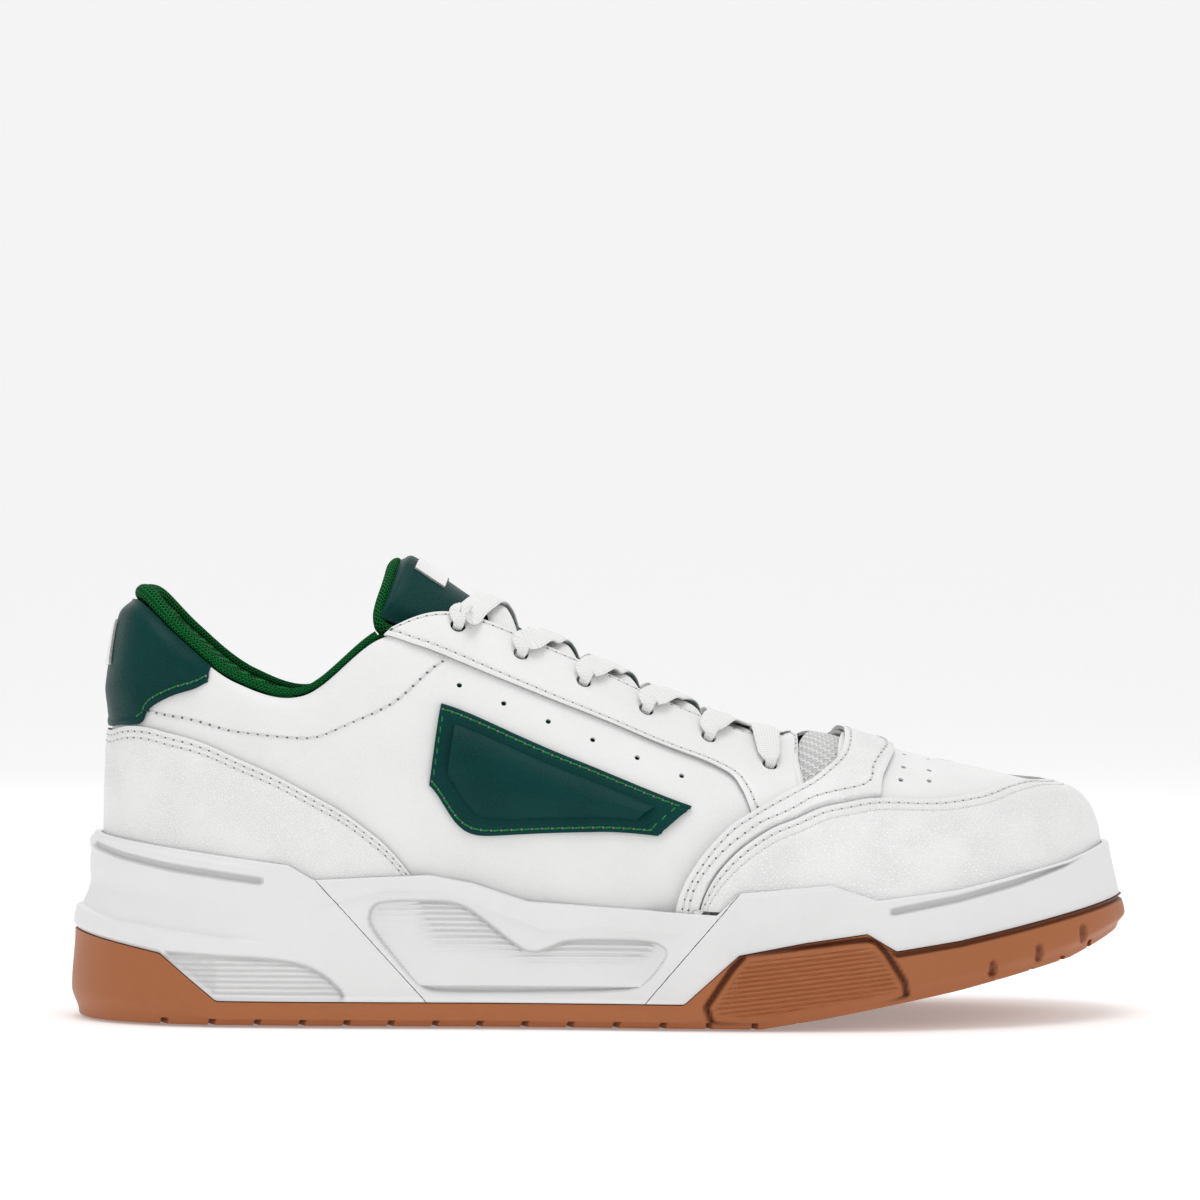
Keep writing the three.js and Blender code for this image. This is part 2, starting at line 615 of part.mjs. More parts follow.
// Side applique: a plain slanted panel and the padded middle that is sewn on it.
const appliqueHigh = patternLine([[-44, 88], [-20, 78], [25, 59.5]]);
const appliqueLow = patternLine([[-47, 66], [-34, 52.5], [16, 52]]);
const padHigh = patternLine([[-40, 82.5], [-20, 74], [15, 59.5]]);
const padLow = patternLine([[-42, 68], [-31, 57], [10, 56]]);
bothHands((hand, of) => {
  add(`side_panel_${hand}`, panel({
    one: of(appliqueLow), two: of(appliqueHigh), along: 12, across: 4, inner: overIn, outer: overOut,
  }), greenLeather);
  add(`side_pad_${hand}`, panel({
    one: of(padLow), two: of(padHigh), along: 10, across: 4, inner: topIn,
    outer: flat(2 * (SKIN + GAP) + 1.9),
  }), greenLeather);
});

// ---- collar and linings ----------------------------------------------------------------------
const COUNTER_TOP = 0.56;
const foamDepth = (s, v) => COLLAR_FOAM * Math.sin(Math.PI * Math.max(0, v - 0.6) / 0.5) ** 0.8
  * THREE.MathUtils.clamp((5.3 - Math.abs(s)) / 1.3, 0.12, 1);
const liningOuter = (s, v) => -(1.9 + GAP + SKIN + foamDepth(s, v));
add('heel_counter', panel({
  one: ribLine(-3.6, 3.6, 0.06), two: ribLine(-3.3, 3.3, COUNTER_TOP), along: 20, across: 3,
  inner: flat(-1.4 - SKIN), outer: flat(-1.4),
}), stiffener);
add('collar_foam', panel({
  one: ribLine(-collarEnd, collarEnd, 0.62), two: ribLine(-collarEnd, collarEnd, 0.94),
  along: 26, across: 4, inner: (s, v) => -1.9 - foamDepth(s, v), outer: flat(-1.3),
}), foam);
const liningEnd = collarEnd - 0.45;      // leaves room for the tongue to swing forward
add('collar_lining', panel({
  one: ribLine(-liningEnd, liningEnd, 0.3), two: ribLine(-liningEnd, liningEnd, 0.94),
  along: 26, across: 8, inner: (s, v) => liningOuter(s, v) - SKIN, outer: liningOuter,
}), greenKnit);
add('forefoot_lining', toeCap({
  rear: (v) => 5.6 + 5 * Math.min(1, Math.max(0, v - 0.5) / 0.2), low: flat(0.2), along: 14, across: 7,
  inner: flat(-3.2 - SKIN), outer: flat(-3.2),
}), woven);
add('toe_puff', toeCap({
  rear: flat(11.5), low: flat(0.12), along: 7, across: 6, inner: flat(-1.2 - SKIN), outer: flat(-1.2),
}), stiffener);

function collarBead() {
  const stations = [];
  const count = 36;
  const end = collarEnd - 0.2;
  for (let i = 0; i <= count; i += 1) {
    const s = -end + (2 * end * i) / count;
    const n = sideNormal(s, 0.99);
    const at = onLast(s, 1, 0).addScaledVector(planNormal(s), -PIPING / 2 + SKIN);
    at.z += PIPING / 2 + 0.1;
    const ahead = onLast(s + 0.05, 1, 0).sub(onLast(s - 0.05, 1, 0)).normalize();
    const wide = n.addScaledVector(ahead, -n.dot(ahead)).normalize();
    const deep = ahead.clone().cross(wide);
    stations.push({
      at, wide: wide.multiplyScalar(PIPING / 2), deep: deep.multiplyScalar(PIPING / 2),
    });
  }
  return sweep(stations, 8);
}
add('collar_piping', collarBead(), greenKnit);

// ---- tongue ----------------------------------------------------------------------------------
// Centre x, centre z, half width, fall of the wings and their set-back, from the root to the top.
const TONGUE = [
  [51, 73, 14, 4, 0], [24, 85.5, 19, 8, 0], [-8, 100.5, 22, 11, 0], [-36, 117, 23.5, 14, 2],
  [-56, 131.4, 25, 19, 7],
];
function tonguePoint(a, b) {
  const place = Math.min(Math.max(a, 0), 0.9999) * (TONGUE.length - 1);
  const start = Math.floor(place);
  const row = (k) => TONGUE[Math.min(Math.max(start + k, 0), TONGUE.length - 1)];
  const [x, z, half, fall, back] = [0, 1, 2, 3, 4].map((c) => blendFour(
    [row(-1)[c], row(0)[c], row(1)[c], row(2)[c]], place - start));
  const wing = Math.abs(b) ** 2.2;
  return vec((x - back * wing) * sx, half * b * sy, (z - fall * wing) * sz);
}
function onTongue(a, b, lift) {
  const e = 0.005;
  const a2 = Math.min(Math.max(a, e), 1 - e);
  const along = tonguePoint(a2 + e, b).sub(tonguePoint(a2 - e, b));
  const side = tonguePoint(a, b + e).sub(tonguePoint(a, b - e));
  const n = side.cross(along).normalize();
  if (n.z < 0) n.negate();
  return tonguePoint(a, b).addScaledVector(n, lift);
}
const tongueSheet = (from, to, half, inner, outer) => panel({
  one: (t) => [t, -half], two: (t) => [t, half], from, to, along: 9, across: 8,
  inner: flat(inner), outer: flat(outer), surface: onTongue,
});
const TONGUE_TOP = 0.955;
add('tongue_face', tongueSheet(0.02, TONGUE_TOP, 0.9, -SKIN, 0), greenLeather);
add('tongue_foam', tongueSheet(0.07, TONGUE_TOP, 0.85, -SKIN - GAP - TONGUE_FOAM, -SKIN - GAP), foam);
add('tongue_lining', tongueSheet(0.02, TONGUE_TOP, 0.9, -2 * SKIN - 2 * GAP - TONGUE_FOAM,
  -SKIN - 2 * GAP - TONGUE_FOAM), greenKnit);
add('tongue_label', panel({
  one: (t) => [t, -0.42], two: (t) => [t, 0.42], from: 0.83, to: 0.925, along: 2, across: 6,
  inner: flat(GAP), outer: flat(GAP + 0.6), surface: onTongue,
}), whiteLeather);
function tongueBead() {
  const thickness = 2 * SKIN + 2 * GAP + TONGUE_FOAM;
  const corner = [[0.95, 0.99], [0.975, 0.93], [0.985, 0.84]];
  const half = [];
  for (let a = 0.05; a < 0.94; a += 0.075) half.push([a, 1]);
  half.push(...corner);
  for (const b of [0.6, 0.4, 0.2]) half.push([0.985, b]);
  const route = [...half, [0.985, 0], ...half.map(([a, b]) => [a, -b]).reverse()];
  const places = route.map(([a, b]) => onTongue(a, b, -thickness / 2));
  return sweep(places.map((at, i) => {
    const before = places[Math.max(i - 1, 0)];
    const after = places[Math.min(i + 1, places.length - 1)];
    const ahead = after.clone().sub(before).normalize();
    const up = onTongue(...route[i], 0).sub(at).normalize();
    const deep = up.addScaledVector(ahead, -up.dot(ahead)).normalize();
    return {
      at, wide: ahead.clone().cross(deep).multiplyScalar(BINDING / 2),
      deep: deep.clone().multiplyScalar(thickness / 2),
    };
  }), 8);
}
add('tongue_binding', tongueBead(), greenKnit);

// ---- lace --------------------------------------------------------------------------------------
// The lace comes up through an eyelet, crosses over the edge towards the toe and goes under the
// other eyestay to the next eyelet; a straight bar joins the two sides at the toe end. Its two
// ends are tucked forward between the tongue and the quarter.
const OVER = 2 * SKIN + 3 * GAP + LACE_THICK / 2;       // above the eyestay
const UNDER = -LACE_THICK / 2 - 0.2;                    // below the quarter
const LACE_CLEAR = 2.3;                                 // its middle above the tongue
const instepAt = (s) => loopPoint(s + 0.3, 'top').sub(loopPoint(s - 0.3, 'top')).setY(0).normalize();
function laceStations() {
  const stops = [];
  const half = LACE_WIDTH / 2;
  const thin = LACE_THICK / 2;
  const stop = (at, wide, hint, deep = thin) => stops.push({ at, wide, hint, deep });
  const spot = (k, hand) => eyeletSpots(hand)[k];
  const onHand = (hand, s) => (hand > 0 ? s : LOOP - s);
  const throat = (hand, s, lift, v = 1) => onLast(onHand(hand, s), v, lift);
  const ribOf = (k) => (spot(k, 1)[0]);
  const goThrough = (k, hand, inward) => {
    const [s, v] = spot(k, hand);
    const start = k === 0 ? [-0.045, UNDER - 0.25, half * 0.4] : [0.04, UNDER, half * 0.6];
    const steps = [start, [0, UNDER + 0.5, EYELET_BORE * 0.3],
      [-0.004, SKIN * 1.5 + GAP, EYELET_BORE * 0.28], [0, OVER - 0.3, EYELET_BORE * 0.3],
      [0.04, OVER, half * 0.75]];
    for (const [dv, lift, wide] of inward ? steps.reverse() : steps) {
      const inside = lift > UNDER && lift < OVER;
      stop(onLast(s, v + dv, lift), wide, instepAt(ribOf(k)), inside ? 1.2 * thin : thin);
    }
  };
  const tail = (hand, reversed) => {
    const run = [];
    for (const [x, z, lift, wide] of [[20, 66, -7, 1.3], [8, 71, -7, 1.3], [-6, 77, -7, 3],
      [-20, 85, -7, 3], [-30, 93, -5.2, 2.6], [-35, 99, -3.2, 2]]) {
      const [s, v] = findOnSide(x, z);
      run.push([onLast(onHand(hand, s), v, lift), wide]);
    }
    for (const [at, wide] of reversed ? run.reverse() : run) stop(at, wide, vec(0.4, 0, 1));
  };
  const cross = (k, hand, raised) => {
    const here = ribOf(k);
    const next = ribOf(k + 1);
    const from = throat(hand, here + 0.12, OVER + 0.3);
    from.y *= 0.9;
    const to = throat(-hand, next - 0.1, UNDER - 0.2);
    const hint = instepAt((here + next) / 2);
    stop(throat(hand, here + 0.06, OVER, 0.965), half, hint);
    stop(from, half, hint);
    for (const f of [0.25, 0.5, 0.75]) {
      const at = from.clone().lerp(to, f);
      const a = tongueAt(at.x / sx);
      const rest = tonguePoint(a, at.y / (sy * 22)).z + LACE_CLEAR + (raised ? 1.9 : 0);
      at.z = rest + (f < 0.5 ? 0.7 : 0);
      stop(at, half, hint);
    }
    stop(to, half, hint);
  };
  tail(1, false);
  let hand = 1;
  for (let k = 0; k < EYELETS; k += 1) {
    goThrough(k, hand, false);
    if (k + 1 < EYELETS) cross(k, hand, k % 2 === 0);
    hand = -hand;
  }
  hand = -hand;
  const last = ribOf(EYELETS - 1);
  const toeHint = instepAt(last);
  stop(throat(hand, last, OVER + 0.2, 0.99), half, toeHint);
  const bar = throat(hand, last, OVER + 0.2).lerp(throat(-hand, last, OVER + 0.2), 0.5);
  bar.z = tonguePoint(tongueAt(bar.x / sx), 0).z + 2 * SKIN + LACE_CLEAR + 0.4;
  stop(bar, half, toeHint);
  stop(throat(-hand, last, OVER + 0.2, 0.99), half, toeHint);
  hand = -hand;
  const back = [];
  for (let k = EYELETS - 1; k >= 0; k -= 1) {
    goThrough(k, hand, true);
    if (k > 0) {
      const mark = stops.length;
      cross(k - 1, -hand, k % 2 === 0);
      back.push(...stops.splice(mark).reverse());
      stops.push(...back.splice(0));
    }
    hand = -hand;
  }
  tail(-hand, true);
  return stops;
}
function tongueAt(x) {
  let [low, high] = [0, 1];
  for (let k = 0; k < 20; k += 1) {
    const mid = (low + high) / 2;
    if (tonguePoint(mid, 0).x > x * sx) low = mid;
    else high = mid;
  }
  return low;
}
function lace() {
  const stops = laceStations();
  return sweep(stops.map(({ at, wide, hint, deep }, i) => {
    const before = stops[Math.max(i - 1, 0)].at;
    const after = stops[Math.min(i + 1, stops.length - 1)].at;
    const ahead = after.clone().sub(before).normalize();
    const across = hint.clone().addScaledVector(ahead, -hint.dot(ahead)).normalize();
    return {
      at, wide: across.clone().multiplyScalar(wide),
      deep: ahead.clone().cross(across).multiplyScalar(deep),
    };
  }), 4);
}
add('lace', lace(), woven);

export default shoe;
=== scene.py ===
import math

import bpy
import numpy as np
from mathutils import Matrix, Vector


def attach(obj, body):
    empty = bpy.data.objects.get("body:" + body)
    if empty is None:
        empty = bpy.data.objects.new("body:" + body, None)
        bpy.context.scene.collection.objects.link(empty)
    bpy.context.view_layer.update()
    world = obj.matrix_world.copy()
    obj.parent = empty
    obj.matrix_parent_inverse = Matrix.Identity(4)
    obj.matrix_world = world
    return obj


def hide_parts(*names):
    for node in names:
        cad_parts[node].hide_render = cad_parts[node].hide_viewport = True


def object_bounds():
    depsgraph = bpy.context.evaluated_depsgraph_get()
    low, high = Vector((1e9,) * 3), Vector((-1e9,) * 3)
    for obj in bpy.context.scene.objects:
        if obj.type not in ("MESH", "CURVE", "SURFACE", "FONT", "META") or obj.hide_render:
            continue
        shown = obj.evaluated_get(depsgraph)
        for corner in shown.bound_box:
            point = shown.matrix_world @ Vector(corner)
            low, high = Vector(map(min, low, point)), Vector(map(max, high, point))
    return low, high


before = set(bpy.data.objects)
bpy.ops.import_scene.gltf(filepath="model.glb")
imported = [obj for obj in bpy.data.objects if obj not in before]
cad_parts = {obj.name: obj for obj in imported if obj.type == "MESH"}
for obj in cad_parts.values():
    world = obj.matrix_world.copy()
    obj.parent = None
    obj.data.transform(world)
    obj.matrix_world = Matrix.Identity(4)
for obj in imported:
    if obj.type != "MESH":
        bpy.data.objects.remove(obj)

cad_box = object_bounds()
MM = 0.001

# ---- sizes: the shoe's own, and the thicknesses its maker works with, in millimetres ----
low_corner, high_corner = (np.array(c, float) / MM for c in cad_box)
LENGTH, WIDTH, HEIGHT = high_corner - low_corner
SX, SY, SZ = LENGTH / 300, WIDTH / 106, HEIGHT / 131
SKIN = 1.0
GAP = 0.6
OVER_LEATHER = SKIN + GAP          # where leather laid over the base layer starts
TOP_LEATHER = 2 * OVER_LEATHER + 0.3
COLLAR_FOAM = 7.5
PIPING = 4.6
TONGUE_FOAM = 5.0
BINDING = 3.4
LACE_WIDTH = 8.0
LACE_THICK = 1.1
EYELET_BORE = 4.4
EYELETS = 6
PUNCH_BORE = 1.5
LOW_EDGE = 0.05
LOW_EDGE_OVER = 0.13
STITCH_PITCH = 2.7
STITCH_LONG = 2.0
STITCH_SLANT = 0.1                 # how far a stitch turns from its seam, in radians
THREAD = 0.62
NEEDLE_HOLE = 0.8

# ---- the last ----------------------------------------------------------------------------
# base x, base y lateral, base y medial, base z, top x, top y lateral, top y medial, top z,
# lean and fall in degrees, and the reach of the rib's two handles.
RIBS = [
    [-138, 0, 0, 26, -131, 0, 0, 116.5, 2, 68, 40, 18],
    [-131, -18, 17, 26, -127.5, -14.5, 14, 116, 3, 72, 40, 18],
    [-114, -29, 28, 26, -117, -24, 23.5, 106.5, 4, 78, 34, 18],
    [-90, -33, 31, 25.5, -101, -29.5, 29, 94.5, 5, 82, 28, 16],
    [-68, -34.5, 30.5, 25, -82, -31.5, 31, 91, 5, 80, 26, 16],
    [-46, -35.5, 29.5, 24.5, -61, -29, 28.5, 107, 6, 66, 34, 22],
    [-26, -36.5, 29.5, 24, -41, -22, 21.5, 112.5, 7, 52, 36, 26],
    [2, -39.5, 31.5, 23, -10, -19.5, 19, 100.5, 8, 42, 32, 24],
    [32, -43.5, 37.5, 22, 22, -17, 17, 85.5, 9, 36, 26, 22],
    [60, -45, 43, 22, 46, -11, 13, 77, 9, 26, 24, 22],
    [84, -42.5, 45, 24, 60, 1.5, 1.5, 79, 8, 0, 24, 26],
    [106, -34, 42, 27, 76, 2.5, 2.5, 74.5, 8, 0, 26, 30],
    [123, -21, 36, 30, 90, 4, 4, 70.5, 6, 0, 28, 32],
    [134, -6, 25, 32, 99, 5, 5, 68.6, 5, 0, 30, 33],
    [138, 9, 9, 33, 104, 6, 6, 67.6, 4, 0, 31, 34],
]
TOE = len(RIBS) - 1
LOOP = 2 * TOE
RIDGE_START = 10
RIDGE_FALL = -0.27


def rib_side(row, medial):
    return [row[0] * SX, row[2 if medial else 1] * SY, row[3] * SZ, row[4] * SX,
            row[6 if medial else 5] * SY, row[7] * SZ, row[8], row[9], row[10] * SZ, row[11] * SY]


RIB_LOOP = np.array([rib_side(RIBS[i], False) if i <= TOE else rib_side(RIBS[LOOP - i], True)
                     for i in range(LOOP)])


def blend(a, b, c, d, f):
    """A smooth way from b to c at share f, with a and d as the rows before and after them."""
    return 0.5 * (2 * b + (c - a) * f + (2 * a - 5 * b + 4 * c - d) * f ** 2
                  + (3 * b - a - 3 * c + d) * f ** 3)


def along_ribs(s):
    """All ten rib values at positions s round the shoe, one row for each."""
    s = np.asarray(s, float)
    start = np.floor(s).astype(int)
    rows = [RIB_LOOP[(start + k) % LOOP] for k in (-1, 0, 1, 2)]
    return blend(*rows, (s - start)[..., None])


def from_heel(s):
    """Rib positions counted from the middle of the heel, alike on both sides."""
    return np.minimum(s % LOOP, LOOP - s % LOOP)


def unit(vectors):
    return vectors / np.maximum(np.linalg.norm(vectors, axis=-1, keepdims=True), 1e-9)


def distance_along(points):
    """How far each point of a row lies from the first, measured along the row."""
    return np.concatenate([[0], np.cumsum(np.linalg.norm(np.diff(points, axis=0), axis=1))])


def plan_normal(s):
    """The outward direction of the foot's outline, level with the floor."""
    step = along_ribs(s + 0.02)[..., :2] - along_ribs(s - 0.02)[..., :2]
    flat = np.stack([step[..., 1], -step[..., 0], np.zeros(step.shape[:-1])], -1)
    return unit(flat)


def last_points(s, v):
    """Points of the last itself, at rib position s and height v from 0 to 1."""
    s, v = np.broadcast_arrays(np.asarray(s, float), np.asarray(v, float))
    values = along_ribs(s)
    base, top = values[..., 0:3], values[..., 3:6]
    lean, fall = np.radians(values[..., 6]), np.radians(values[..., 7])
    low, high = values[..., 8], values[..., 9]
    n = plan_normal(s)
    p1 = base + n * (low * np.sin(lean))[..., None]
    p1[..., 2] += low * np.cos(lean)
    p2 = top + n * (high * np.cos(fall))[..., None]
    p2[..., 2] += high * (RIDGE_FALL * n[..., 0] * np.cos(fall) - np.sin(fall))
    v = v[..., None]
    w = 1 - v
    return base * w ** 3 + p1 * 3 * w * w * v + p2 * 3 * w * v * v + top * v ** 3


def side_normal(s, v):
    e = 0.01
    inside = np.minimum(v, 0.97)
    along = last_points(s + e, inside) - last_points(s - e, inside)
    up = last_points(s, inside + e) - last_points(s, inside - e)
    return unit(np.cross(along, up))


def on_last(s, v, lift):
    """Points lift millimetres off the last at rib position s and height v."""
    s, v, lift = np.broadcast_arrays(*(np.asarray(a, float) for a in (s, v, lift)))
    n = side_normal(s, v)
    around = s % LOOP
    ridge = (v > 0.999) & (around > RIDGE_START - 0.01) & (around < LOOP - RIDGE_START + 0.01)
    both = unit(n + side_normal(LOOP - s, v))
    n = np.where(ridge[..., None], both, n)
    return last_points(s, v) + n * lift[..., None]


SIDE_S, SIDE_V = np.meshgrid(np.linspace(0, TOE, 561), np.linspace(0, 1, 201), indexing="ij")
SIDE_POINTS = last_points(SIDE_S, SIDE_V)


def find_on_side(x, z):
    """Rib position and height of a point as it is drawn on the side pattern."""
    miss = (SIDE_POINTS[..., 0] - x * SX) ** 2 + (SIDE_POINTS[..., 2] - z * SZ) ** 2
    i, j = np.unravel_index(np.argmin(miss), miss.shape)
    best = np.array([SIDE_S[i, j], SIDE_V[i, j]])
    for _ in range(4):
        e = 1e-3
        here = last_points(*best)[[0, 2]]
        if not 0.002 < best[1] < 0.99:
            break
        ds = (last_points(best[0] + e, best[1])[[0, 2]] - here) / e
        dv = (last_points(best[0], best[1] + e)[[0, 2]] - here) / e
        slope = np.array([ds, dv]).T
        if abs(np.linalg.det(slope)) < 1:
            break
        step = np.linalg.solve(slope, np.array([x * SX, z * SZ]) - here)
        best = np.clip(best + np.clip(step, -0.1, 0.1), [0, 0], [TOE, 1])
    return best


def find_on_ridge(x):
    tops = np.linspace(RIDGE_START, TOE, 400)
    return np.array([np.interp(x * SX, along_ribs(tops)[:, 3], tops), 1.0])


def smooth_line(points, samples=160):
    """A centripetal curve through points, as a function of t from 0 to 1."""
    points = np.array(points, float)
    points = np.vstack([2 * points[0] - points[1], points, 2 * points[-1] - points[-2]])
    spans = len(points) - 3
    table = []
    for at in np.linspace(0, spans, samples + 1):
        i = min(int(at), spans - 1)
        f = at - i
        p0, p1, p2, p3 = points[i:i + 4]
        d0, d1, d2 = (max(np.linalg.norm(q - p), 1e-6) ** 0.5 for p, q in ((p0, p1), (p1, p2), (p2, p3)))
        m1 = ((p1 - p0) / d0 - (p2 - p0) / (d0 + d1) + (p2 - p1) / d1) * d1
        m2 = ((p2 - p1) / d1 - (p3 - p1) / (d1 + d2) + (p3 - p2) / d2) * d1
        table.append((2 * f ** 3 - 3 * f ** 2 + 1) * p1 + (f ** 3 - 2 * f ** 2 + f) * m1
                     + (3 * f ** 2 - 2 * f ** 3) * p2 + (f ** 3 - f ** 2) * m2)
    table = np.array(table)
    grid = np.linspace(0, 1, samples + 1)

    def line(t):
        return np.stack([np.interp(t, grid, table[:, c]) for c in range(table.shape[1])], -1)
    return line


def pattern_line(points):
    """A smooth line over the last, through side-view points, ridge points or rib places."""
    found = []
    for p in points:
        if isinstance(p, dict) and "ridge" in p:
            found.append(find_on_ridge(p["ridge"]))
        elif isinstance(p, dict):
            found.append(np.array([p["rib"], p["v"]]))
        else:
            found.append(find_on_side(*p))
    line = smooth_line([(s, v * 10) for s, v in found])

    def place(t):
        both = line(t)
        return np.stack([both[..., 0], np.minimum(both[..., 1] / 10, 1)], -1)
    return place


def both_sides(line, centre):
    """A line that runs on over the middle of the toe or heel as its own mirror image."""
    def place(t):
        t = np.asarray(t, float)
        p = line(np.abs(t))
        s = np.where(t < 0, p[..., 0], 2 * centre - p[..., 0])
        return np.stack([s, p[..., 1]], -1)
    return place


def toe_line(line):
    return both_sides(lambda t: line(1 - t), TOE)


def heel_line(line):
    return both_sides(line, 0)


def rib_line(start, stop, v):
    """A line from rib place start to stop, at a height v that may depend on the share run."""
    def place(t):
        t = np.asarray(t, float)
        return np.stack([start + (stop - start) * t, np.full(t.shape, v) if np.isscalar(v) else v(t)], -1)
    return place


def mirrored(line):
    def place(t):
        p = line(t)
        return np.stack([LOOP - p[..., 0], p[..., 1]], -1)
    return place


HANDS = {"lateral": lambda line: line, "medial": mirrored}


# ---- camera, light and floor -----------------------------------------------------------------
def camera_and_light():
    distance = 1.25
    eye_height = 0.1173
    field = 0.3412
    camera = bpy.data.cameras.new("camera")
    camera.sensor_width = 36
    camera.lens = 36 * distance / field
    camera.clip_end = 20
    holder = bpy.data.objects.new("camera", camera)
    holder.location = (0.0, -distance, eye_height)
    holder.rotation_euler = (math.pi / 2, 0, 0)
    bpy.context.collection.objects.link(holder)
    bpy.context.scene.camera = holder
    bpy.context.scene.view_settings.view_transform = "Standard"

    world = bpy.data.worlds.new("studio")
    bpy.context.scene.world = world
    world.use_nodes = True
    world.node_tree.nodes["Background"].inputs["Color"].default_value = (1, 1, 1, 1)
    world.node_tree.nodes["Background"].inputs["Strength"].default_value = 0.64

    for name, place, size, power in (
            ("top_softbox", (0.0, -0.25, 1.2), 0.7, 4.6),
            ("front_softbox", (0.8, -1.3, 0.9), 0.6, 1.3),
            ("left_softbox", (-1.3, -0.9, 0.6), 0.5, 0.7),
            ("back_softbox", (-0.3, 1.2, 0.9), 0.8, 1.6)):
        light = bpy.data.lights.new(name, "AREA")
        light.size = size
        light.energy = power
        lamp = bpy.data.objects.new(name, light)
        lamp.location = place
        aim = Vector((0, 0, 0.05)) - Vector(place)
        lamp.rotation_euler = aim.to_track_quat("-Z", "Y").to_euler()
        bpy.context.collection.objects.link(lamp)
    make_floor()


def floor_paper():
    """White paper that fades evenly into the backdrop."""
    material = bpy.data.materials.new("floor_paper")
    material.use_nodes = True
    shader = material.node_tree.nodes["Principled BSDF"]
    shader.inputs["Base Color"].default_value = (0.92, 0.92, 0.92, 1)
    shader.inputs["Roughness"].default_value = 0.95
    shader.inputs["Specular IOR Level"].default_value = 0.1
    shader.inputs["Emission Color"].default_value = (1, 1, 1, 1)
    shader.inputs["Emission Strength"].default_value = 0.235
    return material


def make_floor():
    """A sheet of paper that lies under the shoe and curves up behind it."""
    bpy.ops.object.select_all(action="DESELECT")
    half_width, front, turn, radius, top = 7.0, -3.0, 2.2, 1.4, 6.0
    bpy.ops.mesh.primitive_plane_add(size=1, location=(0, 0, -0.0006))
    floor = bpy.context.object
    floor.name = "floor"
    profile = [(front, 0.0), (turn, 0.0)]
    profile += [(turn + radius * math.sin(a), radius * (1 - math.cos(a)))
                for a in np.linspace(0, math.pi / 2, 24)[1:]]
    profile.append((turn + radius, top))
    points = [(x, y, z - 0.0006) for y, z in profile for x in (-half_width, half_width)]
    faces = [(2 * i, 2 * i + 1, 2 * i + 3, 2 * i + 2) for i in range(len(profile) - 1)]
    floor.data.clear_geometry()
    floor.location = (0, 0, 0)
    floor.data.from_pydata(points, [], faces)
    make_smooth = [True] * len(faces)
    floor.data.polygons.foreach_set("use_smooth", make_smooth)
    floor.data.materials.append(floor_paper())


camera_and_light()


# ---- finishes ----------------------------------------------------------------------------------
def new_group(name, inputs, outputs):
    """A shader node group with its named float, vector or colour sockets."""
    group = bpy.data.node_groups.new(name, "ShaderNodeTree")
    for label, kind, value in inputs:
        socket = group.interface.new_socket(label, in_out="INPUT", socket_type="NodeSocket" + kind)
        if value is not None:
            socket.default_value = value
    for label, kind in outputs:
        group.interface.new_socket(label, in_out="OUTPUT", socket_type="NodeSocket" + kind)
    return group, Bench(group)


class Bench:
    """Adds nodes to a tree and wires them: values are numbers, colours or other nodes' sockets."""

    def __init__(self, tree):
        self.tree = tree
        self.start = tree.nodes.new("NodeGroupInput") if tree.name in bpy.data.node_groups else None
        self.end = tree.nodes.new("NodeGroupOutput") if self.start else None

    def node(self, kind, values=(), **settings):
        made = self.tree.nodes.new("ShaderNode" + kind)
        for key, value in settings.items():
            setattr(made, key, value)
        for key, value in dict(values).items():
            self.put(made.inputs[key], value)
        return made

    def put(self, socket, value):
        if isinstance(value, bpy.types.NodeSocket):
            self.tree.links.new(value, socket)
        else:
            socket.default_value = value

    def maths(self, operation, *values, clamp=False):
        made = self.node("Math", enumerate(values), operation=operation, use_clamp=clamp)
        return made.outputs[0]

    def vector(self, operation, *values):
        made = self.node("VectorMath", enumerate(values), operation=operation)
        return made.outputs["Value" if operation in ("LENGTH", "DOT_PRODUCT") else "Vector"]

    def ramp(self, value, low, high, to_low=0.0, to_high=1.0):
        made = self.node("MapRange", {"Value": value, "From Min": low, "From Max": high,
                                      "To Min": to_low, "To Max": to_high},
                         interpolation_type="SMOOTHSTEP")
        return made.outputs["Result"]

    def mix(self, factor, first, second):
        made = self.node("Mix", {"Factor": factor}, data_type="RGBA")
        self.put(made.inputs[6], first)
        self.put(made.inputs[7], second)
        return made.outputs[2]

    def group(self, tree, values=()):
        made = self.node("Group", node_tree=tree)
        for key, value in dict(values).items():
            self.put(made.inputs[key], value)
        return made.outputs


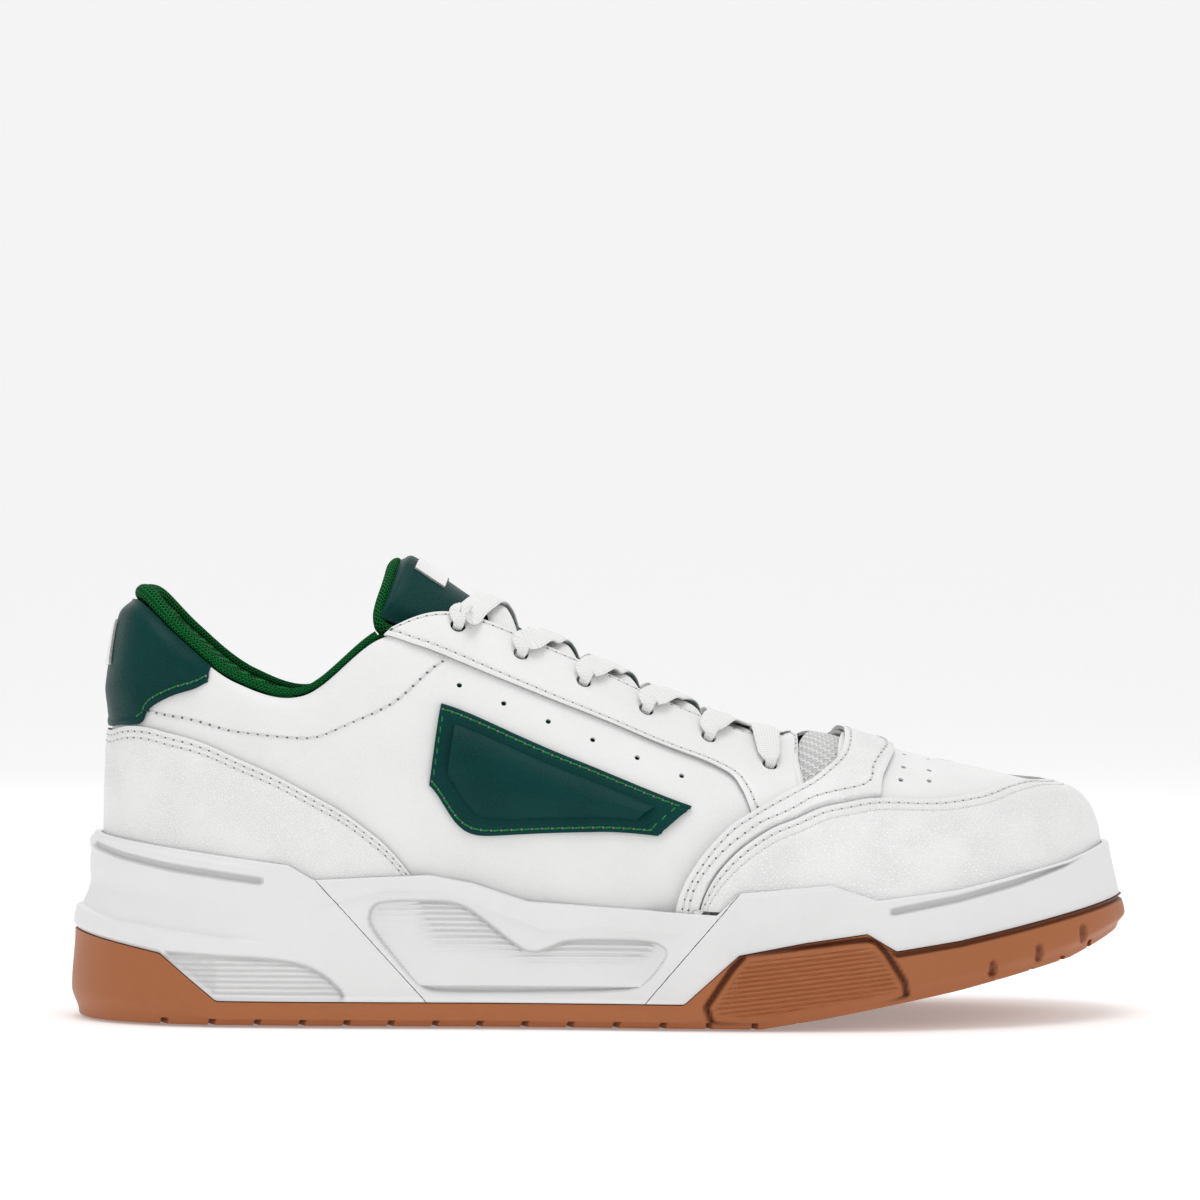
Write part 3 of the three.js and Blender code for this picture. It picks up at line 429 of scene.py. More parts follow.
def leather_grain_group():
    """Pores and creases of leather: a height, and a mask of painted shade in its creases, from the piece's
    place.
    """
    group, b = new_group("leather_grain", [("Pebble", "Float", 0.001), ("Crease", "Float", 0.5)],
                         [("Height", "Float"), ("CreaseShade", "Float")])
    place = b.node("TexCoord").outputs["Object"]
    pebble = b.maths("DIVIDE", 1.0, b.start.outputs["Pebble"])
    drift = b.node("TexNoise", {"Vector": place, "Scale": 260.0, "Detail": 2.0}).outputs["Color"]
    shift = b.node("VectorMath", {0: drift, "Scale": 0.0007}, operation="SCALE")
    moved = b.vector("ADD", place, shift.outputs["Vector"])
    cells = b.node("TexVoronoi", {"Vector": moved, "Scale": pebble}, feature="DISTANCE_TO_EDGE")
    # painted shade, darkest at the edges of the grain's cells where its creases run
    crease_shade = b.ramp(cells.outputs["Distance"], 0.0, 0.22, 1.0, 0.0)
    dome = b.ramp(cells.outputs["Distance"], 0.0, 0.5)
    fine = b.node("TexNoise", {"Vector": place, "Scale": 5200.0, "Detail": 3.0}).outputs["Fac"]
    broad = b.node("TexNoise", {"Vector": place, "Scale": 70.0, "Detail": 3.0}).outputs["Fac"]
    strength = b.maths("MULTIPLY", b.start.outputs["Crease"], b.ramp(broad, 0.3, 0.7, 0.45, 1.0))
    height = b.maths("ADD", b.maths("MULTIPLY", dome, strength), b.maths("MULTIPLY", fine, 0.18))
    b.put(b.end.inputs["Height"], height)
    b.put(b.end.inputs["CreaseShade"], b.maths("MULTIPLY", crease_shade, strength))
    return group


def honeycomb_group():
    """A hexagon lattice on a piece's own map in millimetres: its holes and its height."""
    group, b = new_group("honeycomb_lattice",
                         [("Pitch", "Float", 2.0), ("Hole", "Float", 0.3)],
                         [("Holes", "Float"), ("Height", "Float")])
    uv = b.node("UVMap").outputs["UV"]
    scaled = b.node("VectorMath", {0: uv}, operation="SCALE")
    b.put(scaled.inputs["Scale"], b.maths("DIVIDE", 1.0, b.start.outputs["Pitch"]))
    half = (0.5, 0.8660254, 0.5)
    minus = tuple(-h for h in half)
    first = b.vector("WRAP", scaled.outputs["Vector"], half, minus)
    second = b.vector("WRAP", b.vector("ADD", scaled.outputs["Vector"], half), half, minus)
    near = b.maths("MINIMUM", *(b.vector("LENGTH", b.vector("MULTIPLY", v, (1.0, 1.0, 0.0)))
                                for v in (first, second)))
    hole = b.start.outputs["Hole"]
    inside = b.maths("SUBTRACT", hole, near)
    b.put(b.end.inputs["Holes"], b.ramp(inside, -0.06, 0.06))
    b.put(b.end.inputs["Height"], b.ramp(inside, -0.2, 0.05, 1.0, 0.0))
    return group


def handling_group():
    """Faint unevenness of a shoe that has been handled: a mask, from 0 to 1."""
    group, b = new_group("handling_marks", [("Scale", "Float", 45.0)], [("Marks", "Float")])
    place = b.node("TexCoord").outputs["Object"]
    cloud = b.node("TexNoise", {"Vector": place, "Scale": b.start.outputs["Scale"], "Detail": 5.0,
                                "Roughness": 0.6}).outputs["Fac"]
    b.put(b.end.inputs["Marks"], b.ramp(cloud, 0.42, 0.72))
    return group


GRAIN = leather_grain_group()
HONEYCOMB = honeycomb_group()
HANDLING = handling_group()


def new_finish(name, roughness, specular):
    """An empty material with its shader's even values set, and a bench to wire the rest."""
    material = bpy.data.materials.new(name)
    material.use_nodes = True
    shader = material.node_tree.nodes["Principled BSDF"]
    shader.inputs["Roughness"].default_value = roughness
    shader.inputs["Specular IOR Level"].default_value = specular
    return material, Bench(material.node_tree), shader


def wire_bump(b, shader, height, distance):
    bump = b.node("Bump", {"Height": height, "Distance": distance, "Strength": 1.0})
    b.put(shader.inputs["Normal"], bump.outputs["Normal"])


def leather(name, color, dark, pebble, depth, roughness, specular=0.4):
    """Leather with its grain size and depth in millimetres, with painted shade in the creases of its grain.
    """
    material, b, shader = new_finish(name, roughness, specular)
    grain = b.group(GRAIN, {"Pebble": pebble * MM, "Crease": 0.8})
    marks = b.group(HANDLING, {"Scale": 38.0})["Marks"]
    # painted shade in the grain's creases, with faint random handling marks
    shade = b.maths("ADD", b.maths("MULTIPLY", grain["CreaseShade"], 0.55),
                    b.maths("MULTIPLY", marks, 0.12), clamp=True)
    b.put(shader.inputs["Base Color"], b.mix(shade, color, dark))
    b.put(shader.inputs["Roughness"], b.maths("ADD", roughness - 0.05, b.maths("MULTIPLY", marks, 0.1)))
    wire_bump(b, shader, grain["Height"], depth * MM)
    return material


def knit(name, color, hole_shade_color, pitch, hole, depth, specular=0.25):
    """Knitted or honeycomb fabric on the piece's own map, with painted shade in its holes."""
    material, b, shader = new_finish(name, 0.85, specular)
    lattice = b.group(HONEYCOMB, {"Pitch": pitch, "Hole": hole})
    place = b.node("TexCoord").outputs["Object"]
    fuzz = b.node("TexNoise", {"Vector": place, "Scale": 3500.0, "Detail": 2.0}).outputs["Fac"]
    yarn = b.mix(b.maths("MULTIPLY", fuzz, 0.5), color, tuple(c * 0.72 for c in color[:3]) + (1,))
    # the holes are painted a dark shade colour
    b.put(shader.inputs["Base Color"], b.mix(lattice["Holes"], yarn, hole_shade_color))
    height = b.maths("ADD", lattice["Height"], b.maths("MULTIPLY", fuzz, 0.15))
    wire_bump(b, shader, height, depth * MM)
    return material


def rubber(name, color, dark, roughness):
    """Moulded rubber, darker where its channel attribute paints shade into grooves and slots, and a little
    cloudy all over.
    """
    material, b, shader = new_finish(name, roughness, 0.35)
    place = b.node("TexCoord").outputs["Object"]
    marks = b.group(HANDLING, {"Scale": 28.0})["Marks"]
    channel = b.node("Attribute", attribute_name="channel").outputs["Fac"]
    # painted shade from the channel attribute, with faint random handling marks
    shade = b.maths("ADD", channel, b.maths("MULTIPLY", marks, 0.07), clamp=True)
    b.put(shader.inputs["Base Color"], b.mix(shade, color, dark))
    b.put(shader.inputs["Roughness"], b.maths("ADD", roughness, b.maths("MULTIPLY", marks, 0.08)))
    pimples = b.node("TexNoise", {"Vector": place, "Scale": 2400.0, "Detail": 2.0}).outputs["Fac"]
    wire_bump(b, shader, pimples, 0.05 * MM)
    return material


def woven(name, color, dark, across, along, depth):
    """Plain weave on the piece's own map, with painted shade between its threads: across and along are the
    thread pitches.
    """
    material, b, shader = new_finish(name, 0.8, 0.25)
    uv = b.node("SeparateXYZ", {0: b.node("UVMap").outputs["UV"]})
    warp = b.maths("MULTIPLY", uv.outputs["X"], math.pi / along)
    weft = b.maths("MULTIPLY", uv.outputs["Y"], math.pi / across)
    over = b.maths("MULTIPLY", b.maths("SINE", warp), b.maths("SINE", weft))
    height = b.maths("ADD", b.maths("MULTIPLY", over, 0.5), 0.5)
    # painted shade where the threads cross and leave gaps
    gap_shade = b.ramp(b.maths("ABSOLUTE", over), 0.0, 0.35, 1.0, 0.0)
    b.put(shader.inputs["Base Color"], b.mix(b.maths("MULTIPLY", gap_shade, 0.6), color, dark))
    wire_bump(b, shader, height, depth * MM)
    return material


def fibrous(name, color, dark, scale, depth, roughness=0.9):
    """Foam, board, thread and other plain stuff with a fine broken surface."""
    material, b, shader = new_finish(name, roughness, 0.25)
    place = b.node("TexCoord").outputs["Object"]
    fleck = b.node("TexNoise", {"Vector": place, "Scale": scale, "Detail": 4.0}).outputs["Fac"]
    b.put(shader.inputs["Base Color"], b.mix(b.ramp(fleck, 0.35, 0.7), color, dark))
    wire_bump(b, shader, fleck, depth * MM)
    return material


# Each leather's, rubber's and weave's second colour is its painted shade in creases, grooves and thread
# gaps, mixed with random handling marks for leather and rubber; each knit's last colour is painted shade in
# its holes.
FINISH = {
    "smooth_leather": leather("smooth_leather", (0.87, 0.87, 0.865, 1), (0.74, 0.74, 0.735, 1),
                              0.55, 0.05, 0.42),
    "pebbled_leather": leather("pebbled_leather", (0.88, 0.88, 0.875, 1), (0.62, 0.62, 0.615, 1),
                               0.8, 0.17, 0.45),
    "tumbled_leather": leather("tumbled_leather", (0.89, 0.89, 0.885, 1), (0.62, 0.62, 0.615, 1),
                               0.95, 0.22, 0.45),
    "green_leather": leather("green_leather", (0.0005, 0.047, 0.043, 1), (0.0005, 0.014, 0.013, 1),
                             0.7, 0.09, 0.42, specular=0.11),
    "raw_edge": fibrous("raw_edge", (0.52, 0.52, 0.51, 1), (0.33, 0.33, 0.33, 1), 2600.0, 0.1),
    "green_edge": fibrous("green_edge", (0.012, 0.045, 0.04, 1), (0.005, 0.015, 0.014, 1), 2600.0, 0.1),
    "white_thread": fibrous("white_thread", (0.82, 0.82, 0.81, 1), (0.62, 0.62, 0.61, 1),
                            3200.0, 0.08, 0.6),
    "green_thread": fibrous("green_thread", (0.015, 0.26, 0.06, 1), (0.006, 0.1, 0.025, 1),
                            3200.0, 0.08, 0.6),
    # dark grey painted shade for the needle holes
    "needle_hole_shade": fibrous("needle_hole_shade", (0.22, 0.22, 0.22, 1), (0.12, 0.12, 0.12, 1), 2000.0, 0.05),
    "honeycomb_mesh": knit("honeycomb_mesh", (0.93, 0.93, 0.92, 1), (0.6, 0.6, 0.6, 1), 2.3, 0.3, 0.6),
    "green_knit": knit("green_knit", (0.012, 0.33, 0.070, 1), (0.001, 0.012, 0.005, 1), 1.15, 0.36, 0.6,
                       specular=0.08),
    "lining_textile": woven("lining_textile", (0.78, 0.78, 0.76, 1), (0.5, 0.5, 0.49, 1),
                            0.45, 0.45, 0.06),
    "lace_weave": woven("lace_weave", (0.88, 0.88, 0.87, 1), (0.6, 0.6, 0.59, 1), 0.62, 0.85, 0.14),
    "gum_rubber": rubber("gum_rubber", (0.39, 0.130, 0.044, 1), (0.10, 0.026, 0.010, 1), 0.45),
    "white_rubber": rubber("white_rubber", (0.81, 0.81, 0.81, 1), (0.40, 0.40, 0.40, 1), 0.45),
    "foam": fibrous("foam", (0.7, 0.66, 0.58, 1), (0.5, 0.46, 0.4, 1), 900.0, 0.4),
    "board": fibrous("board", (0.58, 0.45, 0.28, 1), (0.42, 0.32, 0.19, 1), 1500.0, 0.1),
    "stiffener": fibrous("stiffener", (0.72, 0.72, 0.7, 1), (0.58, 0.58, 0.56, 1), 700.0, 0.08, 0.6),
}


def finish_hidden_parts():
    """The pieces that stay as the design has them, inside the shoe."""
    for node, finish in (("midsole_wedge", "foam"), ("shank_plate", "stiffener"),
                         ("strobel_board", "board"), ("heel_counter", "stiffener"),
                         ("toe_puff", "stiffener"), ("collar_foam", "foam"),
                         ("tongue_foam", "foam"), ("forefoot_lining", "lining_textile")):
        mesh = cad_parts[node].data
        mesh.materials.clear()
        mesh.materials.append(FINISH[finish])


# ---- making pieces -----------------------------------------------------------------------------
def make_active(piece):
    bpy.ops.object.select_all(action="DESELECT")
    piece.select_set(True)
    bpy.context.view_layer.objects.active = piece


def in_edit_mode(piece, *steps):
    """Runs mesh operators, each given with its settings, on all of a piece."""
    make_active(piece)
    bpy.ops.object.mode_set(mode="EDIT")
    bpy.ops.mesh.select_all(action="SELECT")
    for operator, settings in steps:
        operator(**settings)
    bpy.ops.object.mode_set(mode="OBJECT")


def apply_modifier(piece, kind, **settings):
    make_active(piece)
    modifier = piece.modifiers.new(kind.lower(), kind)
    for key, value in settings.items():
        setattr(modifier, key, value)
    bpy.ops.object.modifier_apply(modifier=modifier.name)


def read_points(mesh):
    values = np.empty(len(mesh.vertices) * 3)
    mesh.vertices.foreach_get("co", values)
    return values.reshape(-1, 3)


def write_points(mesh, points):
    mesh.vertices.foreach_set("co", (points * MM).astype(np.float32).ravel())
    mesh.update()


def write_map(mesh, across_and_along):
    """The piece's own map, in millimetres over its surface."""
    layer = mesh.uv_layers.active or mesh.uv_layers.new(name="UVMap")
    corner = np.empty(len(mesh.loops), int)
    mesh.loops.foreach_get("vertex_index", corner)
    layer.data.foreach_set("uv", across_and_along[corner].astype(np.float32).ravel())


def face_outwards(mesh, outward):
    """Turns all faces over if they point against the outward direction of their first corners."""
    total = 0
    for face in mesh.polygons:
        total += np.dot(face.normal, outward[face.vertices[0]]) * face.area
    if total < 0:
        mesh.flip_normals()


def smooth(piece, angle=40):
    make_active(piece)
    bpy.ops.object.shade_smooth_by_angle(angle=math.radians(angle))


def hand_over(piece, body, finishes, replaces=(), shown_slot=None):
    """Gives a finished piece its materials and its body, and hides the design's pieces that it stands for.
    """
    if not piece.data.materials:
        for finish in finishes:
            piece.data.materials.append(FINISH[finish])
    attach(piece, body)
    shown_slot or finishes[0]
    if replaces:
        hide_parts(*replaces)
    return piece


def mesh_piece(name, points, faces, uv=None):
    """A piece straight from its points in millimetres and its faces."""
    mesh = bpy.data.meshes.new(name)
    mesh.from_pydata((np.asarray(points) * MM).tolist(), [], [list(map(int, f)) for f in faces])
    piece = bpy.data.objects.new(name, mesh)
    bpy.context.collection.objects.link(piece)
    if uv is not None:
        write_map(mesh, np.asarray(uv))
    return piece


def grid_sheet(name, along, across):
    """A flat grid with the places of its points, from 0 to 1 along and across."""
    bpy.ops.object.select_all(action="DESELECT")
    bpy.ops.mesh.primitive_grid_add(x_subdivisions=along, y_subdivisions=across, size=2)
    piece = bpy.context.object
    piece.name = piece.data.name = name
    place = (read_points(piece.data)[:, :2] + 1) / 2
    return piece, place[:, 0], place[:, 1]


def crowd_ends(w, amount):
    """Moves the rows of a sheet towards its two long edges."""
    return w - amount * np.sin(2 * np.pi * w) / (2 * np.pi)


def lay_on(piece, s, v, lift, uv, surface):
    write_points(piece.data, surface(s, v, lift))
    write_map(piece.data, uv)
    face_outwards(piece.data, surface(s, v, lift + 1) - surface(s, v, lift))


def give_thickness(piece, thick, finishes, edge):
    """Makes a sheet a closed piece of leather or cloth with softened cut edges."""
    for finish in finishes:
        piece.data.materials.append(FINISH[finish])
    apply_modifier(piece, "SOLIDIFY", thickness=thick * MM, offset=-1, material_offset_rim=len(finishes) - 1)
    apply_modifier(piece, "BEVEL", width=edge * MM, segments=2, limit_method="ANGLE",
                   angle_limit=math.radians(55))
    smooth(piece)


def spans_of(one, two, start, stop, surface):
    """Width of a panel and the distance along its middle, at t from start to stop."""
    t = np.linspace(start, stop, 241)
    a, b = one(t), two(t)
    low = surface(a[:, 0], a[:, 1], 1.0)
    high = surface(b[:, 0], b[:, 1], 1.0)
    width = np.linalg.norm(high - low, axis=1)
    return t, width, distance_along((low + high) / 2)


def lay_panel(name, one, two, along, across, outer, thick, finishes, start=0.0, stop=1.0,
              crowd=0.6, surface=on_last, edge=0.3):
    """A cut piece between two pattern lines. outer(s, v, from_one, from_two) is its upper face."""
    piece, f, w = grid_sheet(name, along, across)
    t = start + (stop - start) * f
    w = crowd_ends(w, crowd)
    a, b = one(t), two(t)
    spot = a + (b - a) * w[:, None]
    grid, width, run = spans_of(one, two, start, stop, surface)
    wide = np.interp(t, grid, width)
    far = np.interp(t, grid, run)
    lift = outer(spot[:, 0], spot[:, 1], w * wide, (1 - w) * wide)
    lay_on(piece, spot[:, 0], spot[:, 1], lift, np.stack([far, w * wide], -1), surface)
    give_thickness(piece, thick, finishes, edge)
    return piece


def lay_cap(name, rear, low, along, across, outer, thick, finishes, crowd=0.3):
    """A piece over the toe box, from a rear line round the toe, closed along the ridge."""
    piece, f, w = grid_sheet(name, 2 * along, across)
    w = crowd_ends(w, crowd)
    side = f > 0.5
    k = np.where(side, 2 - 2 * f, 2 * f)
    s = np.full(f.shape, float(TOE))
    v = np.ones(f.shape)
    for _ in range(8):
        v = low(s) + (1 - low(s)) * w
        s = rear(v) + (TOE - rear(v)) * k
    s_all = np.where(side, LOOP - s, s)
    place = on_last(s_all, v, 0)
    low_edge = on_last(s_all, low(s), 0)
    lift = outer(s_all, v, np.linalg.norm(place - low_edge, axis=1))
    wall = 95                          # from the feather edge to the ridge, over the leather
    uv = np.stack([place[:, 0], np.where(side, -1, 1) * (1 - v) * wall], -1)
    write_points(piece.data, on_last(s_all, v, lift))
    write_map(piece.data, uv)
    in_edit_mode(piece, (bpy.ops.mesh.remove_doubles, {"threshold": 0.02 * MM}),
                 (bpy.ops.mesh.normals_make_consistent, {"inside": False}))
    centre = np.array([80.0 * SX, 0, 30]) * MM
    face_outwards(piece.data, read_points(piece.data) - centre)
    give_thickness(piece, thick, finishes, 0.25)
    return piece


def cut_away(piece, cutters, solver):
    """Cuts the joined cutters out of a piece and removes them."""
    for cutter in cutters:
        cutter.select_set(True)
    bpy.ops.object.join()
    cutter = bpy.context.object
    cutter.data.materials.append(piece.data.materials[0])
    apply_modifier(piece, "BOOLEAN", operation="DIFFERENCE", solver=solver, object=cutter)
    bpy.data.objects.remove(cutter, do_unlink=True)


def punch_holes(piece, spots, bore):
    """Round holes through a piece, square to the last."""
    cutters = []
    for s, v in spots:
        axis = Vector(side_normal(s, v))
        bpy.ops.object.select_all(action="DESELECT")
        bpy.ops.mesh.primitive_cylinder_add(
            vertices=20, radius=bore / 2 * MM, depth=14 * MM, location=on_last(s, v, 1.0) * MM,
            rotation=axis.to_track_quat("Z", "Y").to_euler())
        cutters.append(bpy.context.object)
    cut_away(piece, cutters, "EXACT")


def spots_along(start, stop, count, medial):
    """Evenly spaced places between two points of the side pattern."""
    spots = []
    for f in np.linspace(0, 1, count):
        s, v = find_on_side(start[0] + (stop[0] - start[0]) * f, start[1] + (stop[1] - start[1]) * f)
        spots.append((LOOP - s if medial else s, v))
    return spots


def round_section(sides):
    turns = np.linspace(0, 2 * np.pi, sides, endpoint=False)
    return np.stack([np.cos(turns), np.sin(turns)], -1)


def sweep(name, middles, wide, deep, section, uv_scale):
    """A bar through middles; section is its outline as pairs of shares of wide and deep."""
    count, sides = len(middles), len(section)
    section = np.asarray(section)
    points = (middles[:, None] + wide[:, None] * section[None, :, :1]
              + deep[:, None] * section[None, :, 1:]).reshape(-1, 3)
    run = distance_along(middles)
    reach = np.linalg.norm(wide, axis=1).mean()
    around = section[:, 0] * reach if uv_scale == 0 else np.arange(sides) * uv_scale
    uv = np.stack([np.repeat(run, sides), np.tile(around, count)], -1)
    faces = []
    for i in range(count - 1):
        for k in range(sides):
            a, b = i * sides + k, i * sides + (k + 1) % sides
            faces.append((a, b, b + sides, a + sides))
    faces.append(tuple(range(sides))[::-1])
    faces.append(tuple((count - 1) * sides + k for k in range(sides)))
    piece = mesh_piece(name, points, faces, uv)
    face_outwards(piece.data, points - np.repeat(middles, sides, axis=0))
    smooth(piece, 50)
    return piece


# ---- sewing ------------------------------------------------------------------------------------
def stitch_form():
    """One stitch, lying along X, from which all the others are copied."""
    bpy.ops.object.select_all(action="DESELECT")
    bpy.ops.mesh.primitive_uv_sphere_add(segments=6, ring_count=5, radius=0.5,
                                         rotation=(0, math.pi / 2, 0))
    form = bpy.context.object
    bpy.ops.object.transform_apply(rotation=True)
    points = read_points(form.data)
    points[:, 0] = np.sign(points[:, 0]) * np.abs(points[:, 0] * 2) ** 0.6 / 2
    faces = [tuple(f.vertices) for f in form.data.polygons]
    bpy.data.objects.remove(form, do_unlink=True)
    return points * (STITCH_LONG, THREAD, THREAD * 0.85), faces


STITCH_POINTS, STITCH_FACES = stitch_form()


class Seam:
    """Collects rows of stitches and then makes them one piece of thread and one of small dark cones, painted
    shade at the needle holes.
    """

    def __init__(self, name, thread, finish_slot="smooth_leather"):
        self.name, self.thread, self.slot = name, thread, finish_slot
        self.points, self.faces, self.hole_points, self.hole_faces = [], [], [], []

    def row(self, line, lift, start=0.0, stop=1.0):
        """Sews along line at a height over the last, which is a number or depends on the place."""
        t = np.linspace(start, stop, 400)
        spot = line(t)
        raise_by = lift(spot[:, 0], spot[:, 1]) if callable(lift) else np.full(len(t), lift)
        path = on_last(spot[:, 0], spot[:, 1], raise_by)
        above = on_last(spot[:, 0], spot[:, 1], raise_by + 1)
        run = distance_along(path)
        count = max(int(run[-1] / STITCH_PITCH), 1)
        for k in range(count):
            middle = (k + 0.5) * run[-1] / count
            at, ahead, back, up = (np.array([np.interp(r, run, q[:, c]) for c in range(3)])
                                   for r, q in ((middle, path), (middle + 0.5, path),
                                                (middle - 0.5, path), (middle, above)))
            tangent = unit(ahead - back)
            normal = unit(up - at)
            normal = unit(normal - tangent * np.dot(normal, tangent))
            side = np.cross(normal, tangent)
            lean = tangent * math.cos(STITCH_SLANT) + side * math.sin(STITCH_SLANT)
            turn = np.array([lean, np.cross(normal, lean), normal])
            first = len(self.points) * len(STITCH_POINTS)
            self.points.append(at + normal * THREAD * 0.12 + STITCH_POINTS @ turn)
            self.faces += [tuple(i + first for i in f) for f in STITCH_FACES]
            self.hole(at - tangent * STITCH_PITCH / 2, tangent, side, normal)

    def hole(self, at, tangent, side, normal):
        # a small dark cone of painted shade at a needle hole
        corners = 6
        first = len(self.hole_points) * (corners + 1)
        ring = at + NEEDLE_HOLE / 2 * round_section(corners) @ np.array([tangent, side])
        self.hole_points.append(np.vstack([ring - normal * 0.04, at + normal * 0.16]))
        self.hole_faces += [(first + k, first + (k + 1) % corners, first + corners)
                            for k in range(corners)]
        self.hole_faces.append(tuple(first + k for k in range(corners))[::-1])

    def sew(self):
        thread = mesh_piece(self.name, np.vstack(self.points), self.faces)
        smooth(thread, 80)
        hand_over(thread, "shoe", [self.thread], shown_slot=self.slot)
        holes = mesh_piece(self.name + "_needle_hole_shade", np.vstack(self.hole_points), self.hole_faces)
        hand_over(holes, "shoe", ["needle_hole_shade"], shown_slot=self.slot)


def inset(one, two, distance):
    """A line the given distance inside edge one of a panel, towards edge two."""
    def place(t):
        a, b = one(t), two(t)
        across = on_last(a[..., 0], a[..., 1], 1.0) - on_last(b[..., 0], b[..., 1], 1.0)
        wide = np.linalg.norm(across, axis=-1)
        return a + (b - a) * np.clip(distance / np.maximum(wide, 1e-3), 0, 1)[..., None]
    return place


def end_line(low, high, end):
    """A line across the end of a panel, from its low edge to its high edge."""
    def place(t):
        at = np.full(np.shape(t), end)
        return low(at) * (1 - t[:, None]) + high(at) * t[:, None]
    return place


def dip(distance, rows, depth=0.26, reach=0.65):
    """How far rows of stitches pull the leather down, at a distance from its edge."""
    total = 0
    for row in rows:
        total = total + depth * np.exp(-((distance - row) / reach) ** 2)
    return total


def rolled(distance, depth=0.35, reach=0.7):
    """How far a cut edge is hammered down."""
    return depth * np.exp(-(np.maximum(distance, 0) / reach) ** 2)


def sewn_in(face, waviness=0.12, deep=0.24):
    """Height of a row of stitches that is pulled deep into a leather face."""
    return lambda s, v: face - deep + hand_of_leather(s, v, waviness)


def hand_of_leather(s, v, depth=0.12):
    """The slight waviness that stretched leather keeps."""
    return depth * (np.sin(3.1 * s + 1.7) * np.sin(9 * v + 0.5 * s) + 0.6 * np.sin(6.3 * s + 14 * v))


# ---- sole --------------------------------------------------------------------------------------
def profile(points):
    """Straight stretches between side-view points, following the shoe's size."""
    points = np.array(points, float) * (SX, SZ)

    def height(x):
        return np.interp(x, points[:, 0], points[:, 1])
    return height


OUTSOLE_FLOOR = 4.6
TREAD_DEPTH = 1.8
TREAD_SLOT = 1.8
TREAD_PITCH = 12
GUM_WALL = 2.4
CUP_FLOOR = 3.2
WALL_TOP = 1.6
CUP_CLEAR = 0.3
CUP_FOOT = 2
SEAM_GAP = 0.28
tread_line = profile([[44, 0], [62, 3], [99, 10.2], [131, 17.6], [150, 25]])
gum_top = profile([[-148, 24], [-122, 19], [-106, 6], [-60, 6], [23, 6], [38, 19.5],
                   [56, 23], [73, 25.4], [81, 20.6], [99, 23.2], [136, 30.6], [150, 33.5]])
lip_top = profile([[-144, 52], [-98, 45.6], [-86, 44], [-79, 40], [-58, 41], [-47, 41.5],
                   [-35, 39.3], [-20, 34.4], [0, 33], [32, 31], [38, 37], [63, 39.2], [76, 35],
                   [99, 37.7], [131, 44.5], [144, 48.6]])
feather = profile([[row[0], row[3]] for row in RIBS])


def sole_floor(x):
    return tread_line(x) + OUTSOLE_FLOOR


def shelf(x):
    return np.maximum(gum_top(x), sole_floor(x) + 0.6) + GAP


def flare(s):
    return 8 + 4 * plan_normal(s)[..., 0] ** 2


def cup_inner(s):
    """How far the upper stands out beyond the foot of the last, with room for its leather."""
    n = plan_normal(s)
    base = along_ribs(s)[..., :3]
    out = [((last_points(s, np.full(s.shape, v)) - base) * n).sum(-1)
           for v in (0.06, 0.12, 0.18, 0.24, 0.3)]
    front = smoothstep(7.4 - np.abs(s - TOE), 0, 1.2)
    return np.max(out, axis=0) + 2 * SKIN + 2 * GAP + CUP_CLEAR + front * (SKIN + GAP)


def lip_inner(s):
    """How far in the cup's upper edge reaches, to lie against the leather at that height."""
    heights = np.linspace(0, 0.4, 33)
    base = along_ribs(s)[..., :3]
    n = plan_normal(s)
    walls = np.array([last_points(s, np.full(s.shape, v)) for v in heights])
    out = ((walls - base) * n).sum(-1)
    level = lip_top(base[..., 0] + 8 * n[..., 0])
    bulge = np.array([np.interp(level[i], walls[:, i, 2], out[:, i]) for i in range(len(s))])
    around = from_heel(s)
    foxing = 1 - smoothstep(around, 4.7, 5.1)
    front = smoothstep(around, 7.3, 7.6)
    leather = SKIN + OVER_LEATHER * foxing + TOP_LEATHER * front
    return np.minimum(bulge + leather + 0.45, cup_inner(s))


def even_rib_places(count):
    """Rib positions evenly spaced round the sole, the first at the heel, alike on both sides."""
    s = np.linspace(0, TOE, 1200)
    edge = along_ribs(s)[:, :3] + plan_normal(s) * 9
    run = distance_along(edge)
    half = np.interp(np.linspace(0, run[-1], count // 2 + 1), run, s)
    return np.concatenate([half, LOOP - half[-2:0:-1]])


SOLE_S = even_rib_places(900)


def edge_distance(x, z, corners, closed):
    """Distance from points to a drawn line, and whether they lie inside it if it is closed."""
    corners = np.array(corners, float) * (SX, SZ)
    ends = np.vstack([corners[1:], corners[:1]]) if closed else corners[1:]
    best = np.full(x.shape, 1e9)
    inside = np.zeros(x.shape, bool)
    for (ax, az), (bx, bz) in zip(corners, ends):
        dx, dz = bx - ax, bz - az
        f = np.clip(((x - ax) * dx + (z - az) * dz) / (dx * dx + dz * dz), 0, 1)
        best = np.minimum(best, np.hypot(x - ax - f * dx, z - az - f * dz))
        if closed:
            crosses = (az > z) != (bz > z)
            at = ax + (z - az) / np.where(dz == 0, 1e-9, dz) * dx
            inside ^= crosses & (x < at)
    return best, inside


def smoothstep(x, low, high):
    f = np.clip((x - low) / (high - low), 0, 1)
    return f * f * (3 - 2 * f)


def groove(x, z, line, wide, deep):
    away, _ = edge_distance(x, z, line, False)
    return -deep * (1 - smoothstep(away, wide * 0.3, wide * 0.75))


WALL_RIBS = 1.6                    # pitch of the fine ribs in the white wall


